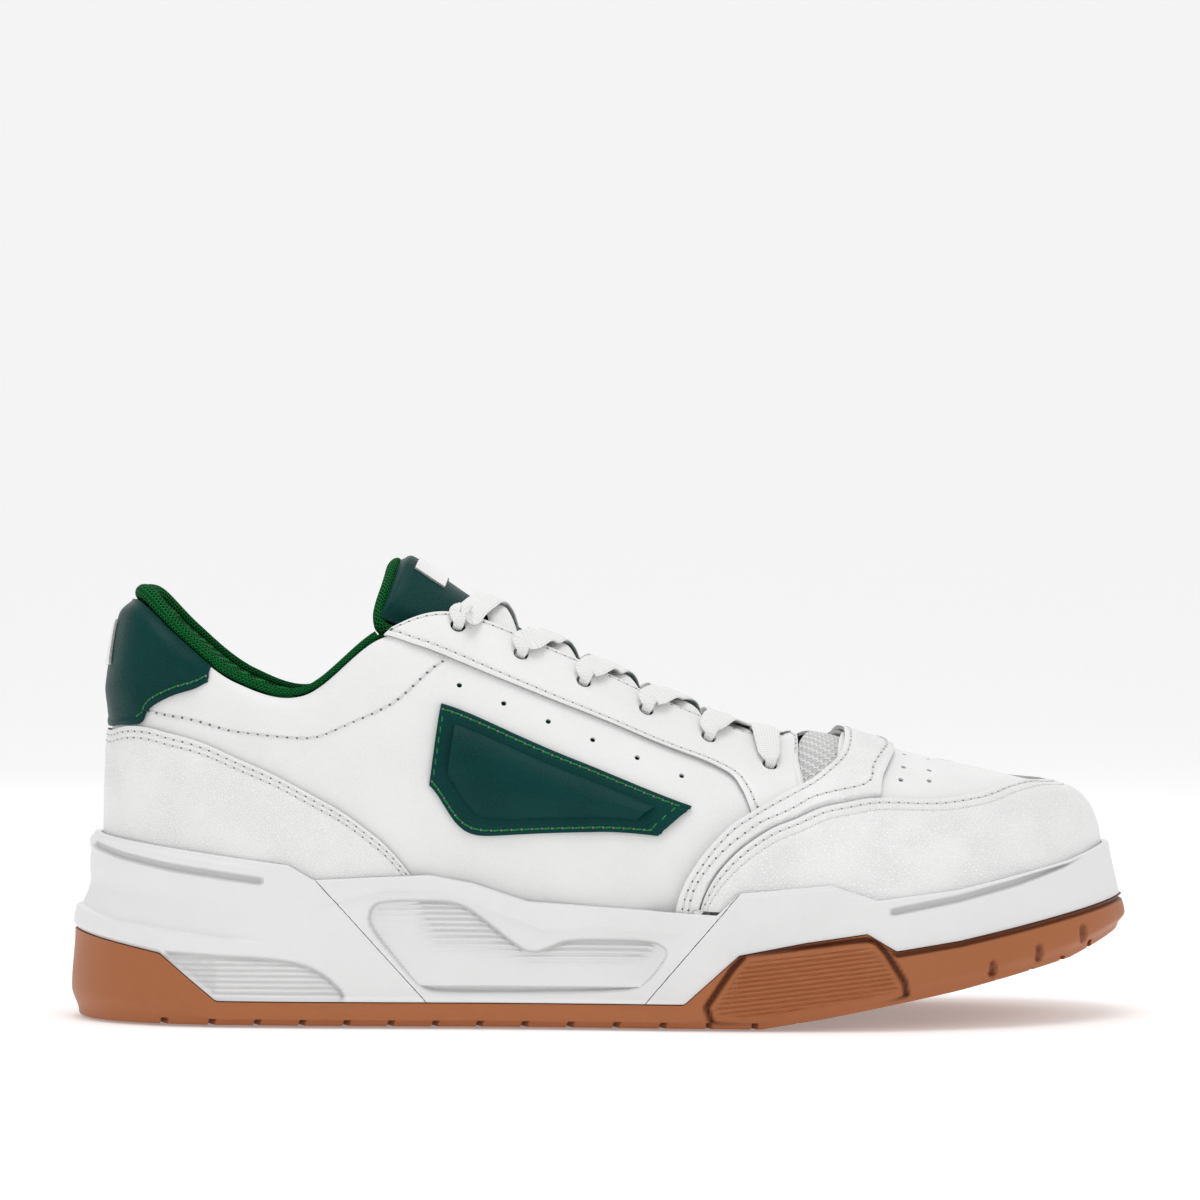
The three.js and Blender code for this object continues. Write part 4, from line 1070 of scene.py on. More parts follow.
def window(x, z, outline, deep, ribs=0.0, pitch=WALL_RIBS, slope=0.0, soft=0.7):
    """A sunk field with fine raised ribs that lie along X, or lean by slope."""
    away, inside = edge_distance(x, z, outline, True)
    signed = np.where(inside, away, -away)
    field = smoothstep(signed, -soft / 2, soft / 2)
    teeth = 0.5 + 0.5 * np.cos(2 * np.pi * (z - slope * x) / pitch)
    return -deep * field + ribs * teeth * smoothstep(signed, soft * 0.6, soft * 1.6)


def rounded(outline, times):
    """A closed outline with its corners cut and cut again, until they are round."""
    points = np.array(outline, float)
    for _ in range(times):
        after = np.roll(points, -1, axis=0)
        points = np.stack([points * 0.8 + after * 0.2, points * 0.2 + after * 0.8], 1).reshape(-1, 2)
    return points


HEEL_WINDOW = rounded([[-122.1, 19.8], [-109.8, 19.2], [-93.3, 18.4], [-82.3, 17], [-75.4, 13.4],
                       [-70.8, 8.8], [-71.3, 5.9], [-106, 5.9], [-112, 10.5]], 1)
SIDE_WINDOW = rounded([[-63.9, 28], [-62.5, 33.2], [-57.3, 34.3], [-41.1, 34.3], [-35.6, 32.1],
                       [-21.8, 21.1], [-17.7, 20.3], [-13.6, 21.7], [-8.9, 23.9], [13.9, 23.9],
                       [18.5, 21.1], [13.9, 14.3], [8.4, 10.1], [-45.2, 9.3], [-49.9, 11.5]], 2)
GUM_PANEL = rounded([[39.5, 19.5], [44, 20], [72, 23.6], [75.5, 23], [83.7, 9.9], [78, 7.7],
                     [62.4, 4.7], [46, 1.7], [28, 2.5]], 1)
BALL_SWELL = [[36, 36.4], [62, 38.5], [75, 34], [60, 29.5], [42, 27]]
HEEL_GROOVE = [[-141.3, 48.4], [-133.3, 46.2], [-119.2, 43.4], [-94.1, 39.8]]
TOE_GROOVE = [[80.4, 32.1], [98.3, 35.3], [115.8, 39.5], [129, 43.6], [139.4, 48.2]]


def cup_groove_shade(x, z):
    """Painted shade on the white wall: darker in its grooves and round its windows."""
    mask = np.zeros(x.shape)
    for line in (HEEL_GROOVE, TOE_GROOVE):
        away, _ = edge_distance(x, z, line, False)
        mask = np.maximum(mask, 1 - smoothstep(away, 0.4, 1.3))
    for outline in (HEEL_WINDOW, SIDE_WINDOW):
        away, inside = edge_distance(x, z, outline, True)
        mask = np.maximum(mask, 0.9 * (1 - smoothstep(away, 0.2, 1.1)))
        # painted shade between the ribs inside each window
        ribs = 0.5 - 0.5 * np.cos(2 * np.pi * z / WALL_RIBS)
        mask = np.maximum(mask, 0.5 * ribs * inside)
    return mask * 0.55


def cup_relief(x, z):
    """What is moulded into the white wall, as millimetres out of it."""
    relief = groove(x, z, HEEL_GROOVE, 2.0, 1.5) + groove(x, z, TOE_GROOVE, 1.9, 1.5)
    heel = smoothstep(-x, 88 * SX, 104 * SX)
    below_lip = lip_top(x) - z
    band = 0.9 * np.exp(-((below_lip - 2.5) / 2.6) ** 2)
    relief += heel * (band - 1.3 * np.exp(-((below_lip - 15) / 4.5) ** 2))
    step = profile([[-149, 32], [-135, 27.9], [-119, 25.9], [-105, 24], [-91, 22.8]])
    under = smoothstep(step(x) - z, -0.35, 0.35) * heel
    relief += 1.5 * under * (1 - smoothstep(step(x) - z, 3, 12) * 0.8)
    waist = profile([[-92, 30], [-60, 37.5], [-46, 38], [-30, 32], [-16, 26.5], [2, 27.5], [22, 26]])
    hollow = smoothstep(waist(x) - z, -0.5, 0.5) * smoothstep(x, -84 * SX, -70 * SX)
    relief += -0.8 * hollow * (1 - smoothstep(x, 16 * SX, 26 * SX))
    relief += window(x, z, HEEL_WINDOW, 1.3, 0.7)
    relief += window(x, z, SIDE_WINDOW, 1.8, 0.7)
    return relief + window(x, z, BALL_SWELL, -0.5, soft=6)


def ring_mesh(name, rings):
    """Stacks closed rings of the sole and closes both ends with strips across the shoe."""
    count = rings[0].shape[0]
    points = np.vstack(rings)
    faces = []
    for r in range(len(rings) - 1):
        for i in range(count):
            a, b = r * count + i, r * count + (i + 1) % count
            faces.append((a, b, b + count, a + count))
    for start, flip in ((0, False), ((len(rings) - 1) * count, True)):
        for i in range(count // 2):
            a, b = start + i, start + i + 1
            c, d = start + (count - i) % count, start + count - i - 1
            strip = [q for k, q in enumerate((a, c, d, b)) if q not in (a, c, d, b)[:k]]
            faces.append(tuple(strip[::-1] if flip else strip))
    uv = np.stack([np.tile(np.arange(count), len(rings)), np.repeat(np.arange(len(rings)), count)], -1)
    piece = mesh_piece(name, points, faces, uv)
    centre = points.mean(0)
    in_edit_mode(piece, (bpy.ops.mesh.normals_make_consistent, {"inside": False}))
    face_outwards(piece.data, read_points(piece.data) - centre * MM)
    return piece


def sole_ring(reach, height, relief=None):
    """One ring: reach beyond the last's edge and height, both given for each place."""
    n = plan_normal(SOLE_S)
    points = along_ribs(SOLE_S)[:, :3] + n * np.broadcast_to(reach, SOLE_S.shape)[:, None]
    points[:, 2] = height(points[:, 0])
    if relief is not None:
        points += n * relief(points[:, 0], points[:, 2])[:, None]
    return points


def mark_channels(piece, shade, outer_rings):
    """Writes painted shade, given by shade(x, z), to the outer rings of a sole piece, as its channel
    attribute.
    """
    points = read_points(piece.data) / MM
    outer = np.arange(len(points)) < outer_rings * len(SOLE_S)
    channel = piece.data.attributes.new("channel", "FLOAT", "POINT")
    values = shade(points[:, 0], points[:, 2]) * outer
    channel.data.foreach_set("value", values.astype(np.float32))


def between(first, second, f):
    return lambda x: first(x) + (second(x) - first(x)) * f


def raised(line, more):
    return lambda x: line(x) + more


def bisect_piece(piece, low, high, shift, keep_front):
    """Cuts a sole piece along a slanted seam and closes the cut."""
    run = Vector(((high[0] - low[0]) * SX, 0, (high[1] - low[1]) * SZ))
    normal = Vector((run.z, 0, -run.x)).normalized()
    place = ((low[0] * SX + shift) * MM, 0, low[1] * SZ * MM)
    in_edit_mode(piece, (bpy.ops.mesh.bisect, {"plane_co": place, "plane_no": normal, "use_fill": True,
                                               "clear_inner": keep_front, "clear_outer": not keep_front}))


def make_cupsole():
    """The white cup, moulded whole and parted along its two slanted seams."""
    s = SOLE_S
    inside_gum = flare(s) - 1 - GUM_WALL - GAP
    foot, brow = flare(s) - 1.6, cup_inner(s) + WALL_TOP
    rings = [sole_ring(inside_gum, raised(sole_floor, GAP)), sole_ring(inside_gum, shelf),
             sole_ring(foot - 0.4, shelf)]
    rows = 132                         # close enough for the fine ribs
    rounding = 0.55                    # radius of the moulded upper edge
    for f in np.linspace(0, 1, rows + 1):
        out = foot + (brow - foot) * f
        # the relief fades at both ends, so that the gum joint and the upper edge stay even
        fade = smoothstep(f, 0, 0.05) * (1 - smoothstep(f, 0.95, 1.0))

        def relief(x, z, fade=fade):
            return cup_relief(x, z) * fade
        rings.append(sole_ring(out, between(raised(shelf, 0.1), raised(lip_top, -rounding), f), relief))
    for angle in np.radians([25, 50, 75, 90]):
        rings.append(sole_ring(brow - rounding * (1 - math.cos(angle)),
                               raised(lip_top, -rounding * (1 - math.sin(angle)))))
    rings += [sole_ring(lip_inner(s), raised(lip_top, 0)),
              sole_ring(lip_inner(s), raised(lip_top, -1.2)),
              sole_ring(cup_inner(s), lambda x: np.maximum(shelf(x), sole_floor(x) + GAP + CUP_FLOOR) + 3),
              sole_ring(CUP_FOOT, lambda x: np.maximum(shelf(x), sole_floor(x) + GAP + CUP_FLOOR) + 1),
              sole_ring(CUP_FOOT, raised(sole_floor, GAP + CUP_FLOOR))]
    whole = ring_mesh("cupsole_whole", rings)
    # painted shade in the wall's grooves, round its windows and between their ribs
    mark_channels(whole, cup_groove_shade, rows + 4)
    heel_seam = ([-47.9, 6.6], [-78.4, 39.9])
    ball_seam = ([11, 5.2], [32, 29.9])
    cuts = {"heel_cup": [(heel_seam, 0, False)],
            "shank_cup": [(heel_seam, SEAM_GAP, True), (ball_seam, 0, False)],
            "forefoot_cup": [(ball_seam, SEAM_GAP, True)]}
    nodes = {"heel_cup": "cupsole_heel", "shank_cup": "cupsole_shank", "forefoot_cup": "cupsole_forefoot"}
    for name, seams in cuts.items():
        piece = whole.copy()
        piece.data = whole.data.copy()
        piece.name = piece.data.name = name
        bpy.context.collection.objects.link(piece)
        for (low, high), shift, keep_front in seams:
            bisect_piece(piece, low, high, shift, keep_front)
        smooth(piece, 35)
        hand_over(piece, "shoe", ["white_rubber"], [nodes[name]])
    bpy.data.objects.remove(whole, do_unlink=True)


def gum_relief(x, z):
    """The ribbed side panel, the channel round it and the dimples at the toe."""
    ribs = window(x, z, GUM_PANEL, 0.0, 0.6, 1.28, 0.12)
    relief = ribs * smoothstep(z - tread_line(x), 3.0, 3.8)
    return relief - 1.4 * gum_channel(x, z) - 1.6 * toe_slots(x, z)


def toe_slots(x, z):
    """1 in the three upright slots of the gum toe, 0 elsewhere."""
    slots = np.zeros(x.shape)
    for px, pz in ((108, 15.6), (121.5, 19.6), (135, 24.2)):
        away = np.hypot((x - px * SX) / 1.2, (z - pz * SZ) / 2.9)
        slots = np.maximum(slots, 1 - smoothstep(away, 0.55, 1.15))
    return slots


def gum_channel(x, z):
    """1 in the channel round the side panel, 0 elsewhere."""
    away, inside = edge_distance(x, z, GUM_PANEL, True)
    signed = np.where(inside, away, -away)
    panel = smoothstep(signed, -2.5, -1.3) - smoothstep(signed, -1.0, 0.2)
    joint = smoothstep(z - gum_top(x), -1.5, -0.5) * smoothstep(x, 76 * SX, 82 * SX)
    return np.maximum(panel * smoothstep(z - tread_line(x), 0.8, 2), joint * 0.8)


# painted shade in the channel round the side panel and in the toe slots
def gum_shade(x, z):
    return np.maximum(gum_channel(x, z), 0.6 * toe_slots(x, z))


def make_outsole():
    """The gum outsole, with its sidewall, herringbone tread and moulded side panels."""
    s = SOLE_S
    rim = raised(shelf, 0.4 - GAP)
    rings = []
    for angle in np.radians([8, 40, 75]):
        rings.append(sole_ring(flare(s) - 2 - 0.9 * (1 - math.sin(angle)),
                               raised(tread_line, 0.9 * (1 - math.cos(angle)))))
    rows = 58
    for f in np.linspace(0.04, 1, rows):
        bulge = -2 + 2 * smoothstep(f, 0, 0.3) - 1 * smoothstep(f, 0.3, 1)
        fade = smoothstep(f, 0.04, 0.12) * (1 - smoothstep(f, 0.94, 1.0))

        def relief(x, z, fade=fade):
            return gum_relief(x, z) * fade
        rings.append(sole_ring(flare(s) + bulge, between(raised(tread_line, 0.9), rim, f), relief))
    rings += [sole_ring(flare(s) - 1 - GUM_WALL, rim),
              sole_ring(flare(s) - 1 - GUM_WALL - 0.3, sole_floor)]
    piece = ring_mesh("gum_outsole", rings)
    # painted shade in the gum's channel and toe slots
    mark_channels(piece, gum_shade, rows + 3)
    piece.data.materials.append(FINISH["gum_rubber"])
    cutters = []
    arm = WIDTH * 0.62
    for x in np.arange(-134 * SX, 140 * SX, TREAD_PITCH):
        for side in (-1, 1):
            turn = side * math.radians(68)
            middle = np.array([x + (arm / 2 - 1) * math.cos(turn), (arm / 2 - 1) * math.sin(turn),
                               tread_line(x + 8)])
            bpy.ops.object.select_all(action="DESELECT")
            bpy.ops.mesh.primitive_cube_add(size=1, location=middle * MM, rotation=(0, 0, turn),
                                            scale=np.array([arm, TREAD_SLOT, 2 * TREAD_DEPTH]) * MM)
            cutters.append(bpy.context.object)
    cut_away(piece, cutters, "MANIFOLD")
    smooth(piece, 35)
    hand_over(piece, "shoe", ["gum_rubber"], ["outsole"])


# ---- upper: the base layer ----------------------------------------------------------------------
COLLAR_END = 5.15
EYESTAY_LOW = pattern_line([[-60, 106.5], [-50.3, 103.5], [-32.6, 96.4], [-11.3, 87.6],
                            [9.8, 78.8], [27.5, 71.8], [35, 68], [38.5, 64], [41.5, 57.5]])
EYESTAY_HIGH = pattern_line([{"rib": COLLAR_END, "v": 1}, {"rib": 6, "v": 1}, {"rib": 7, "v": 1},
                             {"rib": 8, "v": 1}, {"rib": 9, "v": 1}, {"rib": 9.55, "v": 0.985},
                             [55.5, 70], [57, 62.5]])
QUARTER_HIGH = pattern_line([{"rib": 0, "v": 0.99}, {"rib": 2, "v": 0.99}, {"rib": 4, "v": 0.99},
                             {"rib": 5, "v": 0.98}, [-47, 108], [-25, 98], [0, 87], [25, 76.5], [42, 66]])
QUARTER_LOW = rib_line(0, 8.35, LOW_EDGE)
COLLAR_SEAM = pattern_line([[-128, 86.5], [-123, 85.5], [-105.4, 81.6], [-87, 79.1], [-73.6, 80.9],
                            [-59.5, 87.2], [-44.1, 99.6], [-42.2, 101.5]])
VENT_ROW = [[-39, 93.2], [22.4, 68]]
EYELET_ROW = [[-40, 108.6], [46.7, 69.3]]


def collar_puff(s, v):
    """The soft roll of padding that stands out above the collar seam."""
    around = from_heel(s)
    seam = COLLAR_SEAM(np.linspace(0, 1, 120))
    start = np.interp(around, seam[:, 0], seam[:, 1])
    f = np.clip((v - start) / np.maximum(0.985 - start, 0.05), 0, 1)
    end = (1 - smoothstep(around, 4.4, 5.6)) * smoothstep(around, 2.1, 3.1)
    return 1.9 * end * np.sin(np.pi * f) ** 0.75 - 0.3 * end * np.exp(-((v - start) / 0.012) ** 2)


def make_quarters():
    """The leather side walls, with their vent holes and the seam under the collar's padding."""
    for hand, of in HANDS.items():
        def outer(s, v, from_low, from_high):
            return SKIN + collar_puff(s, v) + hand_of_leather(s, v)
        piece = lay_panel("quarter_leather_" + hand, of(QUARTER_LOW), of(QUARTER_HIGH), 300, 110,
                          outer, SKIN, ["smooth_leather", "raw_edge"], start=0.004, crowd=0.2)
        punch_holes(piece, spots_along(*VENT_ROW, 6, hand == "medial"), PUNCH_BORE)
        smooth(piece)
        hand_over(piece, "shoe", ["smooth_leather"], ["quarter_" + hand])
    seam = Seam("collar_seam_stitches", "white_thread")
    for of in HANDS.values():
        line = of(COLLAR_SEAM)
        seam.row(line, lambda s, v: SKIN + 0.15 + collar_puff(s, v) + hand_of_leather(s, v), start=0.02)
    seam.sew()


def make_vamp_mesh():
    """The honeycomb cloth under the toe's leather, seen below the lacing."""
    def rear(v):
        return 8.5 + 1.5 * v ** 3 + 0.35 * v * (1 - v)

    def outer(s, v, from_low):
        return SKIN + 0.2 * np.sin(2.4 * s) * v

    def low(s):
        return np.full(np.shape(s), LOW_EDGE)
    piece = lay_cap("vamp_honeycomb", rear, low, 90, 90, outer, SKIN, ["honeycomb_mesh"], crowd=0)
    hand_over(piece, "shoe", ["honeycomb_mesh"], ["vamp_mesh"])


# ---- upper: leather laid over the base ------------------------------------------------------------
MUDGUARD_HIGH = pattern_line([[26.4, 27], [29.5, 37], [34, 43.5], [41.5, 49.5], [50, 53.5], [60, 57],
                              [70.4, 59.2], [88, 59.4], [102, 60], {"rib": 12.6, "v": 0.67},
                              {"rib": TOE, "v": 0.71}])
SADDLE_REAR = pattern_line([[20, 27], [22.5, 37], [26, 43.5], [31, 49.5], [38, 55], [52.8, 62],
                            [61, 66], [66, 70], {"ridge": 68}])
SADDLE_FRONT = pattern_line([[25.6, 29], [28, 38.3], [32.6, 44.9], [40.1, 51], [48.7, 55.2],
                             [59.7, 58.9], [73.7, 62], [78, 68], {"ridge": 81}])
TOE_VENTS = [[[85.2, 71], [83.3, 65]], [[92, 69.5], [91.2, 64.4]]]
FOXING_HIGH = pattern_line([{"rib": 0, "v": 0.5}, [-135, 80.5], [-122, 80.8], [-105.4, 75.5],
                            [-91.3, 69.3], [-77, 62], [-63, 53], [-56, 46.5], [-49.6, 38]])
TAB_LOW = pattern_line([{"rib": 0, "v": 0.512}, [-135, 81.5], [-128, 82.3], [-124.8, 86.6],
                        [-119.9, 89.6], [-112.8, 92], [-107.5, 94.5]])
TAB_HIGH = pattern_line([{"rib": 0, "v": 0.998}, {"rib": 1, "v": 0.998}, {"rib": 2, "v": 0.998},
                         {"rib": 2.66, "v": 0.996}])
LABEL_LOW, LABEL_HIGH = 0.7, 0.88


def lower_edge_under(line):
    """The lower edge of an overlay, straight below the given upper edge."""
    def place(t):
        p = line(t)
        return np.stack([p[..., 0], np.full(p[..., 0].shape, LOW_EDGE_OVER)], -1)
    return place


def make_eyestays():
    """The leather strips that hold the lace, sewn round their border."""
    over = OVER_LEATHER + SKIN
    seam = Seam("eyestay_stitches", "white_thread")
    for hand, of in HANDS.items():
        low, high = of(EYESTAY_LOW), of(EYESTAY_HIGH)

        def outer(s, v, from_low, from_high):
            return (over + hand_of_leather(s, v, 0.08) - rolled(from_low) - dip(from_low, (1.8,))
                    - rolled(from_high, 0.5, 0.9) - dip(from_high, (1.7,)))
        piece = lay_panel("eyestay_leather_" + hand, low, high, 260, 44, outer, SKIN,
                          ["smooth_leather", "raw_edge"])
        punch_holes(piece, spots_along(*EYELET_ROW, EYELETS, hand == "medial"), EYELET_BORE)
        smooth(piece)
        hand_over(piece, "shoe", ["smooth_leather"], ["eyestay_" + hand])
        sewn = sewn_in(over, 0.08)
        seam.row(inset(low, high, 1.8), sewn, start=0.01, stop=0.985)
        seam.row(inset(high, low, 1.7), sewn, start=0.01, stop=0.82)
        seam.row(end_line(low, high, 0.985), sewn_in(over, 0.08, 0.0), start=0.1, stop=0.95)
    seam.sew()


SADDLE_HIDDEN = pattern_line([[29, 27], [32.3, 36.5], [36.7, 42], [43.3, 47.4], [51.2, 51.2],
                              [61, 54.6], [73.5, 57.2], [78.5, 66], {"ridge": 81}])


def under_mudguard(s, v):
    """How far a place lies below the mudguard's upper edge, roughly in millimetres."""
    edge = MUDGUARD_HIGH(np.linspace(0, 1, 200))
    around = TOE - np.abs((s % LOOP) - TOE)
    return (np.interp(around, edge[:, 0], edge[:, 1]) - v) * 85


def make_saddle_strip():
    """The strap over the ball of the foot, tucked under the mudguard at both ends."""
    low, high = toe_line(SADDLE_REAR), toe_line(SADDLE_HIDDEN)
    seen = toe_line(SADDLE_FRONT)
    top = TOP_LEATHER + SKIN

    def outer(s, v, from_rear, from_front):
        tucked = 1.75 * smoothstep(under_mudguard(s, v), -1.6, -0.2)
        free = 1 - smoothstep(under_mudguard(s, v), -4, -2)
        return (top + hand_of_leather(s, v, 0.06) - rolled(from_rear) - dip(from_rear, (1.7,))
                - free * (rolled(from_front) + dip(from_front, (1.7,))) - tucked)
    piece = lay_panel("saddle_leather", low, high, 420, 26, outer, SKIN,
                      ["pebbled_leather", "raw_edge"], start=-1.0)
    hand_over(piece, "shoe", ["pebbled_leather"], ["saddle_strip"])
    seam = Seam("saddle_stitches", "white_thread", finish_slot="pebbled_leather")
    seam.row(inset(low, high, 1.7), sewn_in(top, 0.06), start=-0.99, stop=0.99)
    seam.row(inset(seen, low, 1.9), sewn_in(top, 0.06, 0.0), start=-0.98, stop=0.98)
    seam.sew()


def make_mudguard():
    """The double-stitched leather round the toe."""
    high = toe_line(MUDGUARD_HIGH)
    low = lower_edge_under(high)
    top = TOP_LEATHER + SKIN

    def outer(s, v, from_low, from_high):
        return (top + hand_of_leather(s, v) - rolled(from_high) - dip(from_high, (1.7, 3.9))
                + 0.25 * np.exp(-((from_high - 7) / 3) ** 2))
    piece = lay_panel("mudguard_leather", low, high, 420, 60, outer, SKIN,
                      ["tumbled_leather", "raw_edge"], start=-1.0)
    hand_over(piece, "shoe", ["tumbled_leather"], ["mudguard"])
    seam = Seam("mudguard_stitches", "white_thread", finish_slot="tumbled_leather")
    for row in (1.7, 3.9):
        seam.row(inset(high, low, row), sewn_in(top), start=-0.985, stop=0.985)
    seam.sew()


def make_toe_vamp():
    """The leather on top of the toe, with its vent holes."""
    def rear(v):
        return 9.3 + 1.25 * v ** 2

    def low(s):
        return 0.5 + 0.035 * np.maximum(0, s - 11)

    def outer(s, v, from_low):
        return 2 * SKIN + GAP + 0.1 + hand_of_leather(s, v, 0.06)
    piece = lay_cap("toe_leather", rear, low, 110, 70, outer, SKIN - 0.2,
                    ["smooth_leather", "raw_edge"])
    holes = []
    for row in TOE_VENTS:
        for medial in (False, True):
            holes += spots_along(*row, 3, medial)
    punch_holes(piece, holes, PUNCH_BORE)
    smooth(piece)
    hand_over(piece, "shoe", ["smooth_leather"], ["toe_vamp"])


def make_heel_leather():
    """The heel foxing, the padded green tab over it and its plain label."""
    over = OVER_LEATHER + SKIN
    high = heel_line(FOXING_HIGH)
    low = lower_edge_under(high)

    def outer(s, v, from_low, from_high):
        return over + hand_of_leather(s, v) - rolled(from_high) - dip(from_high, (1.7, 3.7))
    piece = lay_panel("foxing_leather", low, high, 400, 56, outer, SKIN,
                      ["pebbled_leather", "raw_edge"], start=-1.0)
    hand_over(piece, "shoe", ["pebbled_leather"], ["heel_foxing"])
    seam = Seam("foxing_stitches", "white_thread", finish_slot="pebbled_leather")
    for row in (1.7, 3.7):
        seam.row(inset(high, low, row), sewn_in(over), start=-0.985, stop=0.985)
    seam.sew()

    tab_low, tab_high = heel_line(TAB_LOW), heel_line(TAB_HIGH)

    def tab_outer(s, v, from_low, from_high):
        swell = 1.4 * smoothstep(from_low, 2, 9) * smoothstep(from_high, 0, 7)
        ends = 1 - 0.6 * smoothstep(from_heel(s), 1.8, 2.6)
        return (over + swell * ends - rolled(from_low) - dip(from_low, (1.8,))
                - rolled(from_high, 0.8, 3.0))
    tab = lay_panel("heel_tab_leather", tab_low, tab_high, 260, 60, tab_outer, SKIN,
                    ["green_leather", "green_edge"], start=-0.97, stop=0.97)
    hand_over(tab, "shoe", ["green_leather"], ["heel_tab"])
    seam = Seam("heel_tab_stitches", "green_thread", finish_slot="green_leather")
    for start, stop in ((-0.95, -0.33), (0.33, 0.95)):
        seam.row(inset(tab_low, tab_high, 1.8), over - 0.22, start=start, stop=stop)
    seam.sew()

    label_low, label_high = rib_line(-0.55, 0.55, LABEL_LOW), rib_line(-0.45, 0.45, LABEL_HIGH)

    def label_outer(s, v, from_low, from_high):
        return over + 1.5 + 0.75 - rolled(np.minimum(from_low, from_high), 0.2)
    label = lay_panel("heel_label_patch", label_low, label_high, 60, 40, label_outer, 0.8,
                      ["smooth_leather", "raw_edge"], edge=0.2)
    hand_over(label, "shoe", ["smooth_leather"], ["heel_label"])


APPLIQUE_HIGH = pattern_line([[-44, 88], [-20, 78], [25, 59.5]])
APPLIQUE_LOW = pattern_line([[-47, 66], [-34, 52.5], [16, 52]])
PAD_HIGH = pattern_line([[-40, 82.5], [-20, 74], [15, 59.5]])
PAD_LOW = pattern_line([[-42, 68], [-31, 57], [10, 56]])
PAD_CROWN, PAD_SLOPE = 3.0, 9      # how high the padding stands, and over what width it rises
BORDER = 1.5                       # from the panel's edge to its stitches
SUNK = 0.2                         # how deep the panel's stitches are pulled in


def make_side_appliques():
    """The slanted green panel on each side, sewn round its border, with its padded middle."""
    over = OVER_LEATHER + SKIN
    seam = Seam("applique_stitches", "green_thread", finish_slot="green_leather")
    for hand, of in HANDS.items():
        low, high = of(APPLIQUE_LOW), of(APPLIQUE_HIGH)

        def outer(s, v, from_low, from_high):
            return (over - rolled(from_low) - dip(from_low, (BORDER,))
                    - rolled(from_high) - dip(from_high, (BORDER,)))
        panel = lay_panel("applique_leather_" + hand, low, high, 140, 60, outer, SKIN,
                          ["green_leather", "green_edge"])
        hand_over(panel, "shoe", ["green_leather"], ["side_panel_" + hand])
        seam.row(inset(low, high, BORDER), over - SUNK, start=0.02, stop=0.98)
        seam.row(inset(high, low, BORDER), over - SUNK, start=0.02, stop=0.98)
        for end in (0.03, 0.97):
            seam.row(end_line(low, high, end), over - SUNK, start=0.12, stop=0.88)
        pad_low, pad_high = of(PAD_LOW), of(PAD_HIGH)

        def swell(s, v, from_low, from_high):
            near = np.clip(np.minimum(from_low, from_high) / PAD_SLOPE, 0, 1)
            return over + 0.1 + PAD_CROWN * np.sin(near * np.pi / 2) ** 0.7
        pad = lay_panel("applique_pad_" + hand, pad_low, pad_high, 120, 60, swell, 1.2,
                        ["green_leather"], crowd=0.7)
        hand_over(pad, "shoe", ["green_leather"], ["side_pad_" + hand])
    seam.sew()


# ---- collar ------------------------------------------------------------------------------------
def foam_depth(s, v):
    """Thickness of the padding inside the collar."""
    s = (s + TOE) % LOOP - TOE
    fade = np.clip((5.3 - np.abs(s)) / 1.3, 0.12, 1)
    return COLLAR_FOAM * np.maximum(np.sin(np.pi * np.clip((v - 0.6) / 0.5, 0, 1)), 0) ** 0.8 * fade


def make_collar():
    """The knitted, padded lining of the collar and the rolled edge on top of it."""
    foam_top, lining_top = 0.95, 0.998

    def outer(s, v, from_low, from_high):
        depth = 1.9 + GAP + SKIN + foam_depth(s, np.minimum(v, foam_top))
        over = np.clip((v - foam_top) / (lining_top - foam_top), 0, 1)
        return -0.6 - (depth - 0.6) * np.sqrt(1 - over ** 2)
    lining_end = COLLAR_END - 0.45
    low = rib_line(-lining_end, lining_end, 0.3)
    high = rib_line(-lining_end, lining_end, lining_top)
    lining = lay_panel("collar_knit_lining", low, high, 360, 110, outer, SKIN, ["green_knit"],
                       crowd=0.85)
    hand_over(lining, "shoe", ["green_knit"], ["collar_lining"])

    end = COLLAR_END - 0.2
    s = np.linspace(-end, end, 420)
    n = side_normal(s, 0.99)
    thinner = 0.32 * smoothstep(np.abs(s), 0.8, 2.6) + 0.25 * smoothstep(np.abs(s), 2.6, 4.3)
    radius = PIPING / 2 * (1 - thinner)
    middles = on_last(s, 1.0, 0.0) + plan_normal(s) * (SKIN - radius)[:, None]
    middles[:, 2] += radius + 0.1
    ahead = unit(on_last(s + 0.05, 1.0, 0.0) - on_last(s - 0.05, 1.0, 0.0))
    wide = unit(n - ahead * (n * ahead).sum(-1, keepdims=True))
    deep = np.cross(ahead, wide)
    bead = sweep("collar_rolled_edge", middles, wide * radius[:, None], deep * radius[:, None],
                 round_section(20), 0.72)
    hand_over(bead, "shoe", ["green_knit"], ["collar_piping"])


def make_quarter_linings():
    """The knitted lining inside each quarter, from the collar to the lacing."""
    def top(t):
        return 0.95 - 0.17 * smoothstep(t, 0.02, 0.2)

    def outer(s, v, from_low, from_high):
        return np.full(s.shape, -0.35)
    for hand, of in HANDS.items():
        low, high = of(rib_line(4.4, 9.2, 0.2)), of(rib_line(4.4, 9.2, top))
        piece = lay_panel("quarter_knit_lining_" + hand, low, high, 120, 50, outer, 0.7, ["green_knit"])
        hand_over(piece, "shoe", ["green_knit"])


# ---- tongue ------------------------------------------------------------------------------------
TONGUE = np.array([[51, 73, 14, 4, 0], [24, 85.5, 19, 8, 0], [-8, 100.5, 22, 11, 0],
                   [-36, 117, 23.5, 14, 2], [-56, 131.4, 25, 19, 7]], float)
TONGUE_TOP = 0.955


